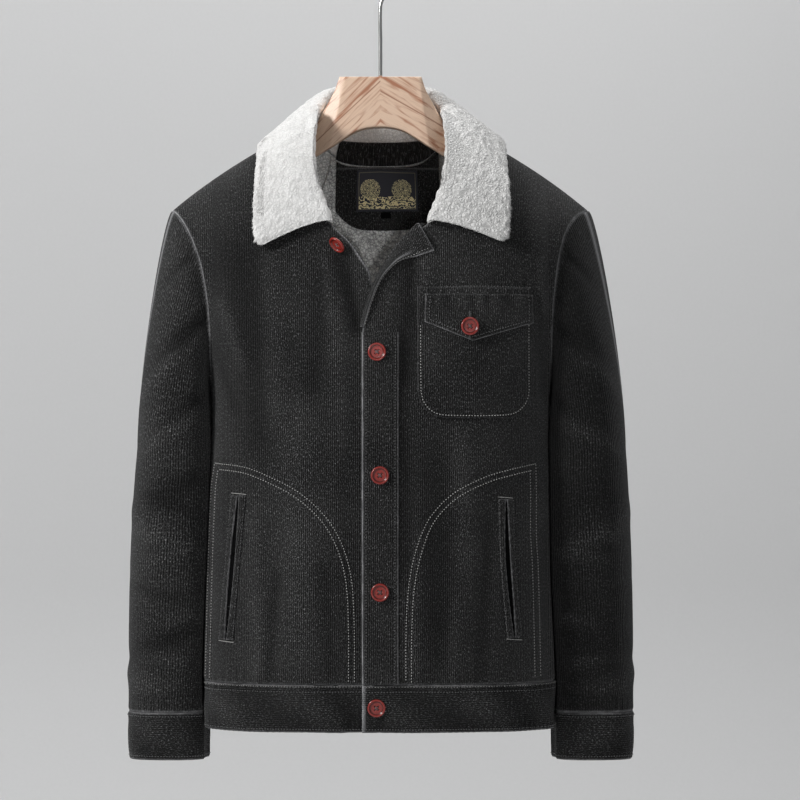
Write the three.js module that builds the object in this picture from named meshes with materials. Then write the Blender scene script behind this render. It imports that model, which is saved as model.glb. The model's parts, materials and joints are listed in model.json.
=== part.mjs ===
// A sherpa lined corduroy jacket, filled out and hollow, hanging on a wooden hanger.
// Millimetres, +Z up. The jacket's front faces -Y, and +X is the wearer's left.
// The origin is the inner crown of the hanger's hook, where a rail carries it.
import * as THREE from 'three';
import { mergeVertices } from 'three/addons/utils/BufferGeometryUtils.js';

// Cloth and seams
const CLOTH = 2.5;
const BAND_CLOTH = 3;
const SEAM = 0.3;
// Sides as seen from the front
const LEFT = -1;
const RIGHT = 1;
const FRONT = -1;
const BACK = 1;

// Shoulders: the crest falls from the neck point to the shoulder tip
const NECK_X = 79;
const NECK_Z = -194;
const TIP_X = 234;
const SHOULDER_SLOPE = 0.545;
const SHOULDER_DROP = 15;
const SHOULDER_ROLL = 95;
const SIDE_FULLNESS = 2.6;

// Heights down the body
const UNDERARM_Z = -500;
const HEM_SEAM_Z = -820;
const HEM_Z = -873.3;

// The torso's half widths and its depths in front of and behind the hanger's plane
const TORSO = [
  { z: -880, left: 195.5, right: 195.5, front: 91, back: 82 },
  { z: -820, left: 198.5, right: 196, front: 97, back: 87 },
  { z: -700, left: 196, right: 191, front: 103, back: 90 },
  { z: -600, left: 192.5, right: 190, front: 106, back: 93 },
  { z: -500, left: 189, right: 190, front: 108, back: 98 },
  { z: -440, left: 199, right: 200, front: 106, back: 99 },
  { z: -400, left: 211, right: 212, front: 103, back: 97 },
  { z: -350, left: 238, right: 238, front: 96, back: 92 },
  { z: -300, left: 266, right: 266, front: 86, back: 84 },
  { z: -250, left: 276, right: 276, front: 72, back: 72 },
  { z: -190, left: 280, right: 280, front: 57, back: 60 },
];

// The armhole from the underarm, at 0, to the shoulder tip, at 1
const ARMHOLE = [
  { at: 0.0, left: 189, right: 190, z: -500 },
  { at: 0.11, left: 189, right: 190, z: -478 },
  { at: 0.22, left: 189.4, right: 190.4, z: -450 },
  { at: 0.33, left: 190.6, right: 191.4, z: -419 },
  { at: 0.44, left: 193.5, right: 193.5, z: -388 },
  { at: 0.56, left: 199, right: 197, z: -358 },
  { at: 0.67, left: 207, right: 202, z: -334 },
  { at: 0.78, left: 216, right: 209, z: -315 },
  { at: 0.89, left: 226, right: 220, z: -300.5 },
  { at: 1.0, left: TIP_X, right: TIP_X, z: -293.5 },
];

// Front edges: x along each front's inner edge, up the opening and round the neck
const FRONT_EDGE = {
  [LEFT]: [
    { z: -880, x: 18 }, { z: -460, x: 18 }, { z: -425, x: 12 }, { z: -400, x: 2 },
    { z: -381, x: -7.7 }, { z: -365, x: -13 }, { z: -350, x: -23 }, { z: -333, x: -34 },
    { z: -313, x: -53 }, { z: -284, x: -72 }, { z: -250, x: -80 }, { z: -221, x: -82 },
    { z: NECK_Z, x: -NECK_X },
  ],
  [RIGHT]: [
    { z: -880, x: -19.8 }, { z: -440, x: -19.8 }, { z: -425, x: -19 }, { z: -404, x: -13 },
    { z: -383, x: -5.5 }, { z: -363, x: 5 }, { z: -345, x: 17 }, { z: -330, x: 28 },
    { z: -313, x: 51 }, { z: -284, x: 72 }, { z: -250, x: 80 }, { z: -221, x: 82 },
    { z: NECK_Z, x: NECK_X },
  ],
};
const BACK_NECK = [
  { x: 0, z: -237 }, { x: 25, z: -236.4 }, { x: 48, z: -231.9 }, { x: 66, z: -217 },
  { x: 74, z: -206 }, { x: NECK_X, z: NECK_Z },
];

// The left front lies under the right one at the opening, and its edge rolls forward
const UNDERLAP = { from: -52, over: 28, inset: 5.9 };
const EDGE_ROLL = { z: -346, tall: 22, wide: 26, forward: 14 };

// The largest soft folds of the fronts and back: a line from (x, z) to (x, z)
const FOLDS = [
  { side: LEFT, face: FRONT, x0: -150, z0: -330, x1: -128, z1: -560, wide: 26, high: -3.5 },
  { side: LEFT, face: FRONT, x0: -92, z0: -520, x1: -88, z1: -800, wide: 24, high: 3 },
  { side: RIGHT, face: FRONT, x0: 62, z0: -560, x1: 66, z1: -800, wide: 20, high: -3 },
  { side: LEFT, face: BACK, x0: -120, z0: -330, x1: -105, z1: -640, wide: 26, high: 4 },
  { side: RIGHT, face: BACK, x0: 132, z0: -350, x1: 112, z1: -680, wide: 26, high: 4 },
  { side: LEFT, face: BACK, x0: -60, z0: -560, x1: -52, z1: -800, wide: 22, high: -3.5 },
  { side: RIGHT, face: BACK, x0: 48, z0: -520, x1: 58, z1: -790, wide: 24, high: -3 },
];

// Sleeves below the armhole: outer and inner sides, front and back. The inner side gives
// way to the body, which it hangs against.
const SLEEVE = [
  { z: -560, left: 274, right: 276.5, inner: 180, front: -58, back: 88 },
  { z: -620, left: 279, right: 280.5, inner: 180, front: -52, back: 87 },
  { z: -690, left: 282.5, right: 283.5, inner: 182, front: -46, back: 82 },
  { z: -770, left: 284, right: 285, inner: 186, front: -38, back: 73 },
  { z: -856, left: 284, right: 285, inner: 190, front: -27, back: 59 },
  { z: -910, left: 282, right: 283, inner: 192, front: -24, back: 55 },
];
const BODY_CLEAR = 1.8;
const SLEEVE_FULLNESS = 2.3;
const CUFF_SEAM_Z = -856;
const CUFF_END_Z = -909.7;
const CAP_LEAVES = 42;
const UNDERARM_LEAVES = 28;
// Soft creases round each sleeve: height, angle from the outer side, and size
const SLEEVE_CREASES = [
  { z: -430, angle: 95, rise: 60, tall: 16, spread: 45, high: -4 },
  { z: -600, angle: 110, rise: 30, tall: 14, spread: 55, high: -3.5 },
  { z: -655, angle: 70, rise: -35, tall: 12, spread: 60, high: 3 },
  { z: -700, angle: 250, rise: 30, tall: 14, spread: 60, high: -3.5 },
  { z: -775, angle: 90, rise: 25, tall: 12, spread: 70, high: -3 },
  { z: -825, angle: 60, rise: -20, tall: 11, spread: 80, high: 2.5 },
];

// The collar, from its front end to the centre of the back: where it is sewn on, where
// it rolls over, and its outer edge. The right wing reaches a little further.
const COLLAR_THICK = 8;
const COLLAR = [
  { seamX: 54, seamZ: -313, rollX: 57, rollY: -98, rollZ: -309, edgeX: 137, edgeY: -96, edgeZ: -339 },
  { seamX: 72, seamZ: -284, rollX: 72, rollY: -80, rollZ: -267, edgeX: 140, edgeY: -88, edgeZ: -313 },
  { seamX: 80, seamZ: -250, rollX: 78, rollY: -54, rollZ: -231, edgeX: 140, edgeY: -72, edgeZ: -279 },
  { seamX: 82, seamZ: -221, rollX: 78, rollY: -26, rollZ: -198, edgeX: 138, edgeY: -42, edgeZ: -247 },
  { seamX: 79, seamZ: -194, rollX: 71, rollY: 7, rollZ: -176, edgeX: 136, edgeY: 2, edgeZ: -221 },
  { seamX: 74, seamZ: -206, rollX: 58, rollY: 38, rollZ: -158, edgeX: 118, edgeY: 48, edgeZ: -233 },
  { seamX: 48, seamZ: -231.5, rollX: 34, rollY: 60, rollZ: -151, edgeX: 72, edgeY: 82, edgeZ: -238 },
  { seamX: 0, seamZ: -237, rollX: 0, rollY: 68, rollZ: -149, edgeX: 0, edgeY: 95, edgeZ: -236 },
];
const RIGHT_WING = { reach: 3.5, rise: 5 };

// The front closure
const PLACKET = { left: -19.8, right: 20.4, top: -432, thick: 1.2 };
const BUTTON_R = 10;
const PLACKET_BUTTONS = [
  { name: 'button_2', x: -3.3, z: -453.6 },
  { name: 'button_3', x: 0, z: -588.9 },
  { name: 'button_4', x: 0, z: -717.6 },
];
const BAND_BUTTON = { name: 'button_5', x: -3.9, z: -845.2 };
// The left front's top button stands nearly on edge, on its thread
const EDGE_BUTTON = { name: 'button_1', x: -44.5, z: -333, lift: 7.6, lean: vector(-0.61, -0.5, -0.61) };
// The turned-out top of the right front: its roll and its true edge
const LAPEL = [
  { at: 0, rollX: -19.5, rollZ: -426, edgeX: -17.5, edgeZ: -426 },
  { at: 0.25, rollX: -14, rollZ: -402, edgeX: -9, edgeZ: -398 },
  { at: 0.5, rollX: -5, rollZ: -377, edgeX: 3, edgeZ: -371 },
  { at: 0.7, rollX: 9, rollZ: -352, edgeX: 22, edgeZ: -353.5 },
  { at: 0.85, rollX: 24, rollZ: -331, edgeX: 42, edgeZ: -348 },
  { at: 1, rollX: 40, rollZ: -314, edgeX: 60, edgeZ: -342 },
];

// Chest pocket, its flap, and the side pockets' lips
const POCKET = { left: 41.5, right: 166.5, top: -382, bottom: -526.5, corner: 30, thick: 1 };
const FLAP = { left: 49.5, right: 167, top: -390, side: -421, pointX: 101, point: -441.5, thick: 1.8 };
const FLAP_BUTTON = { name: 'pocket_button', x: 97.4, z: -425.6 };
const LIP = { wide: 7.6, thick: 2.2, slit: 0.6 };
const SIDE_POCKETS = {
  [LEFT]: [{ z: -612, x: -156 }, { z: -683, x: -162.5 }, { z: -772, x: -170.4 }],
  [RIGHT]: [{ z: -616, x: 138.5 }, { z: -683, x: 140.5 }, { z: -769, x: 148 }],
};

// What shows inside the neck
const INSIDE_CENTRE_X = 8;
const STAND_BAND = { half: 60, tall: 23, thick: 1.2 };
const FACING = { half: 60, bottom: -311, thick: 1 };
const LINING = { topHalf: 58, bottomHalf: 90, bottom: -425, thick: 3 };
const LABEL = { left: -28, right: 43, top: -241, bottom: -288.5, thick: 0.8 };
const TAG = { left: 0, right: 11.4, top: -289.5, bottom: -296.7, thick: 0.6 };

// Hanger and hook
const HANGER = [
  { x: 0, top: -143, bottom: -200, deep: 14 },
  { x: 24, top: -143, bottom: -203.5, deep: 14 },
  { x: 46, top: -143, bottom: -216, deep: 13.5 },
  { x: 51, top: -158, bottom: -219.5, deep: 13 },
  { x: 61.5, top: -177.5, bottom: -226, deep: 12 },
  { x: 72, top: -196, bottom: -232.5, deep: 11 },
];
const ARM = { start: 84, end: 206, clear: 1.3, tallAtNeck: 37, tallAtEnd: 22, deep: 11, stations: 7 };
const WIRE_R = 2.2;
const HOOK_R = 22;
const SHANK_TOP_Z = -64;

// Mesh fineness: columns across a panel, rows below and above the underarm
const COLUMNS = 12;
const NECK_COLUMNS = 5;
const ROWS_BELOW = 9;
const ROWS_ABOVE = 14;
const CAP_STEPS = [0, 0.07, 0.16, 0.3, 0.5, 0.75, 1];
const SLEEVE_ROWS = 8;

const cloth = { roughness: 0.95, metalness: 0 };
const MATERIALS = {
  corduroy: new THREE.MeshStandardMaterial({ color: 0x2b2b2d, ...cloth }),
  sherpa: new THREE.MeshStandardMaterial({ color: 0xe9e8e6, ...cloth }),
  lining: new THREE.MeshStandardMaterial({ color: 0x9a9a99, ...cloth }),
  label: new THREE.MeshStandardMaterial({ color: 0x17172a, roughness: 0.7, metalness: 0 }),
  button: new THREE.MeshStandardMaterial({ color: 0xa23a2e, roughness: 0.3, metalness: 0 }),
  wood: new THREE.MeshStandardMaterial({ color: 0xdcb896, roughness: 0.5, metalness: 0 }),
  steel: new THREE.MeshStandardMaterial({ color: 0xc8c8c8, roughness: 0.3, metalness: 1 }),
};

const jacket = new THREE.Group();

// Small tools

const mix = (a, b, t) => a + (b - a) * t;
const clamp = (v) => Math.min(Math.max(v, 0), 1);
const smooth = (v) => clamp(v) ** 2 * (3 - 2 * clamp(v));
const range = (n, make) => Array.from({ length: n }, (_, i) => make(i));
const along = (n) => range(n + 1, (i) => i / n);

// A smooth curve through a table's rows: value(key) as a function of the column "by"
function curve(rows, by, key) {
  const at = rows.map((r) => r[by]);
  const value = rows.map((r) => r[key]);
  const last = rows.length - 1;
  const slope = rows.map((_, i) => {
    const a = Math.max(i - 1, 0);
    const b = Math.min(i + 1, last);
    return (value[b] - value[a]) / (at[b] - at[a]);
  });
  return (t) => {
    let i = 0;
    while (i < last - 1 && (t - at[i + 1]) * Math.sign(at[last] - at[0]) > 0) i += 1;
    const span = at[i + 1] - at[i];
    const s = clamp((t - at[i]) / span);
    const blend = s * s * (3 - 2 * s);
    return mix(value[i], value[i + 1], blend)
      + span * (s * (1 - s) ** 2 * slope[i] - s * s * (1 - s) * slope[i + 1]);
  };
}

function vector(x, y, z) {
  return new THREE.Vector3(x, y, z);
}

// A point between a and b that leaves along goesOut and arrives along comesIn
function hermite(a, goesOut, b, comesIn, t) {
  const s = t * t * (3 - 2 * t);
  return a.clone().lerp(b, s)
    .addScaledVector(goesOut, t * (1 - t) ** 2)
    .addScaledVector(comesIn, -t * t * (1 - t));
}

// Adds a solid from points and triangles, with its faces turned outward
function addSolid(name, points, triangles, material) {
  let volume = 0;
  for (const [a, b, c] of triangles) {
    volume += points[a].dot(points[b].clone().cross(points[c])) / 6;
  }
  const turned = volume < 0 ? triangles.map(([a, b, c]) => [a, c, b]) : triangles;
  const geometry = new THREE.BufferGeometry();
  geometry.setAttribute('position', new THREE.Float32BufferAttribute(points.flatMap((p) => p.toArray()), 3));
  geometry.setIndex(turned.flat());
  geometry.computeVertexNormals();
  const mesh = new THREE.Mesh(geometry, material);
  mesh.name = name;
  jacket.add(mesh);
  return mesh;
}

function quads(rows, columns, wraps, index, flip) {
  const found = [];
  for (let j = 0; j < rows - 1; j += 1) {
    for (let i = 0; i < (wraps ? columns : columns - 1); i += 1) {
      const k = (i + 1) % columns;
      const [a, b, c, d] = [index(j, i), index(j, k), index(j + 1, k), index(j + 1, i)];
      found.push(...(flip ? [[a, c, b], [a, d, c]] : [[a, b, c], [a, c, d]]));
    }
  }
  return found;
}

// A wall between two grids of points, closed all round its edge
function addWall(name, outer, inner, material, wraps = false) {
  const rows = outer.length;
  const columns = outer[0].length;
  const half = rows * columns;
  const out = (j, i) => j * columns + i;
  const into = (j, i) => half + j * columns + i;
  const triangles = [
    ...quads(rows, columns, wraps, out, false),
    ...quads(rows, columns, wraps, into, true),
  ];
  const rim = [];
  for (let i = 0; i < (wraps ? columns : columns - 1); i += 1) {
    const k = (i + 1) % columns;
    rim.push([out(0, k), out(0, i), into(0, i), into(0, k)]);
    rim.push([out(rows - 1, i), out(rows - 1, k), into(rows - 1, k), into(rows - 1, i)]);
  }
  for (let j = 0; j < rows - 1 && !wraps; j += 1) {
    rim.push([out(j, 0), out(j + 1, 0), into(j + 1, 0), into(j, 0)]);
    rim.push([out(j + 1, columns - 1), out(j, columns - 1), into(j, columns - 1), into(j + 1, columns - 1)]);
  }
  for (const [a, b, c, d] of rim) triangles.push([a, b, c], [a, c, d]);
  return addSolid(name, [...outer.flat(), ...inner.flat()], triangles, material);
}

// Normals of a grid, all on one side of it; outward(p) gives that side's rough direction
function gridNormals(grid, outward, wraps = false) {
  const rows = grid.length;
  const columns = grid[0].length;
  let facing = 0;
  const normals = grid.map((row, j) => row.map((p, i) => {
    const up = grid[Math.min(j + 1, rows - 1)][i].clone().sub(grid[Math.max(j - 1, 0)][i]);
    const next = wraps ? (i + 1) % columns : Math.min(i + 1, columns - 1);
    const before = wraps ? (i + columns - 1) % columns : Math.max(i - 1, 0);
    const across = row[next].clone().sub(row[before]);
    const normal = up.cross(across).normalize();
    facing += normal.dot(outward(p));
    return normal;
  }));
  if (facing < 0) normals.flat().forEach((normal) => normal.negate());
  return normals;
}

const offset = (grid, normals, by) => grid.map((row, j) => row.map(
  (p, i) => p.clone().addScaledVector(normals[j][i], by),
));

// The torso's form

const torso = {
  [LEFT]: curve(TORSO, 'z', 'left'),
  [RIGHT]: curve(TORSO, 'z', 'right'),
  front: curve(TORSO, 'z', 'front'),
  back: curve(TORSO, 'z', 'back'),
};
const armhole = {
  [LEFT]: curve(ARMHOLE, 'at', 'left'),
  [RIGHT]: curve(ARMHOLE, 'at', 'right'),
  z: curve(ARMHOLE, 'at', 'z'),
};
const frontEdge = {
  [LEFT]: curve(FRONT_EDGE[LEFT], 'z', 'x'),
  [RIGHT]: curve(FRONT_EDGE[RIGHT], 'z', 'x'),
};
const backNeck = curve(BACK_NECK, 'x', 'z');

function crest(x) {
  const out = Math.abs(x) - NECK_X;
  const drop = out > 0 ? SHOULDER_DROP * (out / (TIP_X - NECK_X)) ** 3 : 0;
  return NECK_Z - SHOULDER_SLOPE * out - drop;
}

// How far the torso's surface stands in front of or behind the hanger's plane
function depth(side, face, x, z, lift = 0) {
  const half = torso[side](z) + lift;
  const full = (face === FRONT ? torso.front(z) : torso.back(z)) + lift;
  const across = Math.min(Math.abs(x) / half, 1);
  const round = (1 - across ** SIDE_FULLNESS) ** (1 / SIDE_FULLNESS);
  const below = clamp((crest(x) + lift - z) / SHOULDER_ROLL);
  return full * round * Math.sqrt(1 - (1 - below) ** 2);
}

// Soft folds, as a distance outward
function fold(side, face, x, z) {
  let sum = 0;
  for (const f of FOLDS) {
    if (f.side !== side || f.face !== face) continue;
    const t = (z - f.z0) / (f.z1 - f.z0);
    const away = (x - mix(f.x0, f.x1, clamp(t))) / f.wide;
    sum += f.high * Math.exp(-away * away) * smooth(t * 4 + 0.6) * smooth((1 - t) * 4 + 0.6);
  }
  return sum;
}

// A point of a front or back, with the underlap and rolled edge of the left front
function surfaceY(side, face, x, z) {
  const deep = depth(side, face, x, z);
  const flat = smooth(deep / 30);
  let y = face * Math.max(deep + fold(side, face, x, z) * flat, SEAM / 2);
  if (face === FRONT && side === LEFT) {
    y += UNDERLAP.inset * smooth((x - UNDERLAP.from) / UNDERLAP.over);
    const tall = Math.exp(-(((z - EDGE_ROLL.z) / EDGE_ROLL.tall) ** 2));
    const near = clamp(1 - (frontEdge[LEFT](z) - x) / EDGE_ROLL.wide);
    y -= EDGE_ROLL.forward * near * near * tall * smooth((-x + 4) / 16);
  }
  return y;
}

// A point on a front or back, moved out from the cloth by lift
function onPanel(side, face, x, z, lift) {
  const step = 1;
  const y = surfaceY(side, face, x, z);
  const dx = (surfaceY(side, face, x + step, z) - surfaceY(side, face, x - step, z)) / (2 * step);
  const dz = (surfaceY(side, face, x, z + step) - surfaceY(side, face, x, z - step)) / (2 * step);
  const normal = vector(-dx * face, face, -dz * face).normalize();
  return vector(x, y, z).addScaledVector(normal, lift);
}

// Fronts and back

const rising = (w) => Math.sin((w * Math.PI) / 2);
const spread = (u, w) => 1 - (1 - u) ** mix(2.2, 1.2, smooth(w * 2.5));

function panelRows() {
  const below = range(ROWS_BELOW, (j) => ({ w: 0, z: mix(HEM_SEAM_Z, UNDERARM_Z, j / ROWS_BELOW) }));
  const above = range(ROWS_ABOVE + 1, (j) => ({ w: j / ROWS_ABOVE, z: null }));
  return [...below, ...above];
}

// The panel's height at (u, w) above the underarm, given its height on the top seam
function heightAt(u, w, top) {
  const outer = (armhole.z(w) - UNDERARM_Z) / (armhole.z(1) - UNDERARM_Z);
  return UNDERARM_Z + (top - UNDERARM_Z) * mix(rising(w), outer, u * u);
}

function frontPoint(side, u, row) {
  if (row.z !== null) {
    const x = mix(frontEdge[side](row.z), side * torso[side](row.z), spread(u, 0));
    return vector(x, surfaceY(side, FRONT, x, row.z), row.z);
  }
  const { w } = row;
  const topX = mix(side * NECK_X, side * TIP_X, spread(u, 1));
  const innerZ = heightAt(0, w, NECK_Z);
  const x = mix(frontEdge[side](innerZ), side * armhole[side](w), spread(u, w));
  const z = w === 1 ? crest(x) : heightAt(u, w, crest(topX));
  return vector(x, surfaceY(side, FRONT, x, z), z);
}

function backPoint(u, row) {
  const side = u < 0 ? LEFT : RIGHT;
  const a = Math.abs(u);
  const neckShare = NECK_COLUMNS / COLUMNS;
  if (row.z !== null) {
    const x = side * torso[side](row.z) * spread(a, 0);
    return vector(x, surfaceY(side, BACK, x, row.z), row.z);
  }
  const { w } = row;
  const topX = a < neckShare
    ? NECK_X * (a / neckShare)
    : mix(NECK_X, TIP_X, (a - neckShare) / (1 - neckShare));
  const wide = armhole[side](w);
  const x = side * mix(wide * spread(a, w), topX * (wide / TIP_X) ** (a * a), smooth(w * 1.2));
  const top = a < neckShare ? backNeck(topX) : crest(topX);
  const z = heightAt(a, w, top);
  return vector(x, surfaceY(side, BACK, x, z), z);
}

// Seams shared with the other panel keep one normal, square to the seam's gap
function squareSeams(grid, normals, rows, isShoulder, isSide) {
  grid.forEach((row, j) => row.forEach((p, i) => {
    const atTop = j === grid.length - 1 && isShoulder(i);
    const atSide = rows[j].w === 0 && isSide(i);
    if (atTop || atSide) normals[j][i].setY(0).normalize();
  }));
}

const armholeEdges = {};

function addPanels() {
  const rows = panelRows();
  const firstAbove = ROWS_BELOW;
  for (const side of [LEFT, RIGHT]) {
    const grid = rows.map((row) => along(COLUMNS).map((u) => frontPoint(side, u, row)));
    const normals = gridNormals(grid, (p) => vector(p.x * 0.002, FRONT, 0.2));
    squareSeams(grid, normals, rows, () => true, (i) => i === COLUMNS);
    const inner = offset(grid, normals, -CLOTH);
    addWall(side === LEFT ? 'front_left' : 'front_right', grid, inner, MATERIALS.corduroy);
    armholeEdges[`${side}${FRONT}`] = {
      outer: grid.slice(firstAbove).map((r) => r[COLUMNS]),
      inner: inner.slice(firstAbove).map((r) => r[COLUMNS]),
    };
  }
  const across = range(2 * COLUMNS + 1, (i) => i / COLUMNS - 1);
  const grid = rows.map((row) => across.map((u) => backPoint(u, row)));
  const normals = gridNormals(grid, (p) => vector(p.x * 0.002, BACK, 0.2));
  const isShoulder = (i) => Math.abs(i - COLUMNS) >= NECK_COLUMNS;
  squareSeams(grid, normals, rows, isShoulder, (i) => i === 0 || i === 2 * COLUMNS);
  const inner = offset(grid, normals, -CLOTH);
  addWall('back', grid, inner, MATERIALS.corduroy);
  for (const [side, i] of [[LEFT, 0], [RIGHT, 2 * COLUMNS]]) {
    armholeEdges[`${side}${BACK}`] = {
      outer: grid.slice(firstAbove).map((r) => r[i]),
      inner: inner.slice(firstAbove).map((r) => r[i]),
    };
  }
}

// Sleeves and cuffs

const AROUND = 2 * ROWS_ABOVE;
const sleeveCurve = (key) => curve(SLEEVE, 'z', key);
const sleeveSize = {
  [LEFT]: sleeveCurve('left'),
  [RIGHT]: sleeveCurve('right'),
  inner: sleeveCurve('inner'),
  front: sleeveCurve('front'),
  back: sleeveCurve('back'),
};

// A point round a sleeve: angle 0 is its outer side, a quarter turn on is its front
function sleevePoint(side, k, z, inset) {
  const angle = (2 * Math.PI * k) / AROUND;
  const outer = sleeveSize[side](z);
  const inner = sleeveSize.inner(z);
  const halfX = (outer - inner) / 2 - inset;
  const halfY = (sleeveSize.back(z) - sleeveSize.front(z)) / 2 - inset;
  const power = 2 / SLEEVE_FULLNESS;
  const cos = Math.cos(angle);
  const sin = Math.sin(angle);
  const x = (outer + inner) / 2 + halfX * Math.sign(cos) * Math.abs(cos) ** power;
  const y = (sleeveSize.back(z) + sleeveSize.front(z)) / 2 - halfY * Math.sign(sin) * Math.abs(sin) ** power;
  return vector(side * Math.max(x, bodySide(side, y, z) + BODY_CLEAR + inset), y, z);
}

// The half width of the body at y, level with z
function bodySide(side, y, z) {
  const level = Math.max(z, HEM_Z);
  const full = y < 0 ? torso.front(level) : torso.back(level);
  const share = Math.min(Math.abs(y) / full, 1);
  return torso[side](level) * (1 - share ** SIDE_FULLNESS) ** (1 / SIDE_FULLNESS);
}

// How near a place round the sleeve is to the underarm: 0 at the shoulder, 1 at the underarm
const lowness = (k) => (1 - Math.cos((2 * Math.PI * k) / AROUND)) / 2;

function sleeveCrease(k, z) {
  const angle = (360 * k) / AROUND;
  let sum = 0;
  for (const c of SLEEVE_CREASES) {
    const turn = ((angle - c.angle + 540) % 360) - 180;
    const away = (z - c.z - (c.rise * turn) / 90) / c.tall;
    sum += c.high * Math.exp(-away * away - (turn / c.spread) ** 2);
  }
  return sum;
}

// The armhole as a loop of points that match the sleeve's, from the shoulder tip round
function armholeLoop(side, which) {
  const front = armholeEdges[`${side}${FRONT}`][which];
  const back = armholeEdges[`${side}${BACK}`][which];
  return range(AROUND, (k) => {
    const on = k <= ROWS_ABOVE ? front[ROWS_ABOVE - k] : back[k - ROWS_ABOVE];
    const p = on.clone();
    if (k === 0 || k === ROWS_ABOVE) p.setY(0);
    return p;
  });
}

function addSleeve(side) {
  const outerLoop = armholeLoop(side, 'outer');
  const innerLoop = armholeLoop(side, 'inner');
  const leaves = outerLoop.map((p, k) => {
    const tangent = outerLoop[(k + 1) % AROUND].clone().sub(outerLoop[(k + AROUND - 1) % AROUND]);
    const normal = p.clone().sub(innerLoop[k]);
    const away = tangent.cross(normal).normalize();
    if (away.dot(vector(side, 0, 0.4)) < 0) away.negate();
    return away.addScaledVector(vector(side, 0, 0), 1.2 * smooth((lowness(k) - 0.5) * 2)).normalize();
  });
  const topZ = SLEEVE[0].z;
  const gap = (k) => SEAM * (1 + smooth((0.3 - Math.abs(k / ROWS_ABOVE - 1)) / 0.2));
  const starts = outerLoop.map((p, k) => p.clone().lerp(innerLoop[k], 0.5).addScaledVector(leaves[k], gap(k)));
  const centre = CAP_STEPS.map((t) => starts.map((start, k) => {
    const end = sleevePoint(side, k, topZ, CLOTH / 2);
    const out = leaves[k].clone().multiplyScalar(mix(CAP_LEAVES, UNDERARM_LEAVES, lowness(k)));
    const down = vector(0, 0, -0.9 * start.distanceTo(end));
    return hermite(start, out, end, down, t);
  }));
  for (let j = 1; j <= SLEEVE_ROWS; j += 1) {
    const z = mix(topZ, CUFF_SEAM_Z, j / SLEEVE_ROWS);
    centre.push(range(AROUND, (k) => sleevePoint(side, k, z, CLOTH / 2)));
  }
  const last = centre.length - 1;
  const middles = centre.map((ring) => ring.reduce((sum, p) => sum.add(p), vector(0, 0, 0)).divideScalar(AROUND));
  centre.forEach((ring, j) => {
    const held = smooth(j / 3) * smooth((last - j) / 2);
    ring.forEach((p, k) => {
      const out = p.clone().sub(middles[j]).setZ(0).normalize();
      const outward = smooth((side * out.x + 0.75) * 2);
      p.addScaledVector(out, sleeveCrease(k, p.z) * held * outward);
    });
  });
  const normals = gridNormals(centre, (p) => p.clone().sub(middles[last]).setZ(0), true);
  const outer = offset(centre, normals, CLOTH / 2);
  const inner = offset(centre, normals, -CLOTH / 2);
  outer[0] = outerLoop.map((p, k) => p.clone().addScaledVector(leaves[k], gap(k)));
  inner[0] = innerLoop.map((p, k) => p.clone().addScaledVector(leaves[k], gap(k)));
  addWall(side === LEFT ? 'sleeve_left' : 'sleeve_right', outer, inner, MATERIALS.corduroy, true);
}

function addCuff(side) {
  const heights = [CUFF_SEAM_Z - SEAM, CUFF_SEAM_Z - 5, CUFF_END_Z];
  const ring = (inset) => heights.map((z, j) => range(AROUND, (k) => sleevePoint(side, k, z, inset - (j > 0 ? 0.8 : 0))));
  addWall(side === LEFT ? 'cuff_left' : 'cuff_right', ring(0), ring(BAND_CLOTH), MATERIALS.corduroy, true);
}

// The waistband runs from the right front's edge round the body to the left front's
function addWaistband() {
  const top = HEM_SEAM_Z - SEAM;
  const heights = [top, mix(top, HEM_Z, 0.5), HEM_Z];
  const half = 10;
  const halfWay = (side, face, from) => along(half).map((u) => (z) => {
    const x = mix(from(z), side * torso[side](z), spread(u, 0));
    const y = u === 1 ? 0 : surfaceY(side, face, x, z);
    return vector(x, y, z);
  });
  const centre = () => 0;
  const path = [
    ...halfWay(RIGHT, FRONT, frontEdge[RIGHT]),
    ...halfWay(RIGHT, BACK, centre).reverse().slice(1),
    ...halfWay(LEFT, BACK, centre).slice(1),
    ...halfWay(LEFT, FRONT, frontEdge[LEFT]).reverse().slice(1),
  ];
  const outer = heights.map((z) => path.map((at) => at(z)));
  const normals = gridNormals(outer, (p) => vector(p.x, p.y, 0));
  addWall('waistband', outer, offset(outer, normals, -BAND_CLOTH), MATERIALS.corduroy);
}

// Pieces that lie on a panel: a grid of (x, z) places, with the lift of each side

function addOnPanel(name, side, face, places, low, high, material) {
  const lay = (lift) => places.map((row) => row.map(([x, z], i) => onPanel(side, face, x, z, lift(i, row.length, x, z))));
  return addWall(name, lay(high), lay(low), material);
}

function addPlacket() {
  const rows = along(16).map((t) => mix(HEM_SEAM_Z + SEAM, PLACKET.top, t));
  const places = rows.map((z) => along(4).map((u) => [mix(PLACKET.left, PLACKET.right, u), z]));
  addOnPanel('placket', RIGHT, FRONT, places, () => SEAM, () => SEAM + PLACKET.thick, MATERIALS.corduroy);
}

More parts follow.
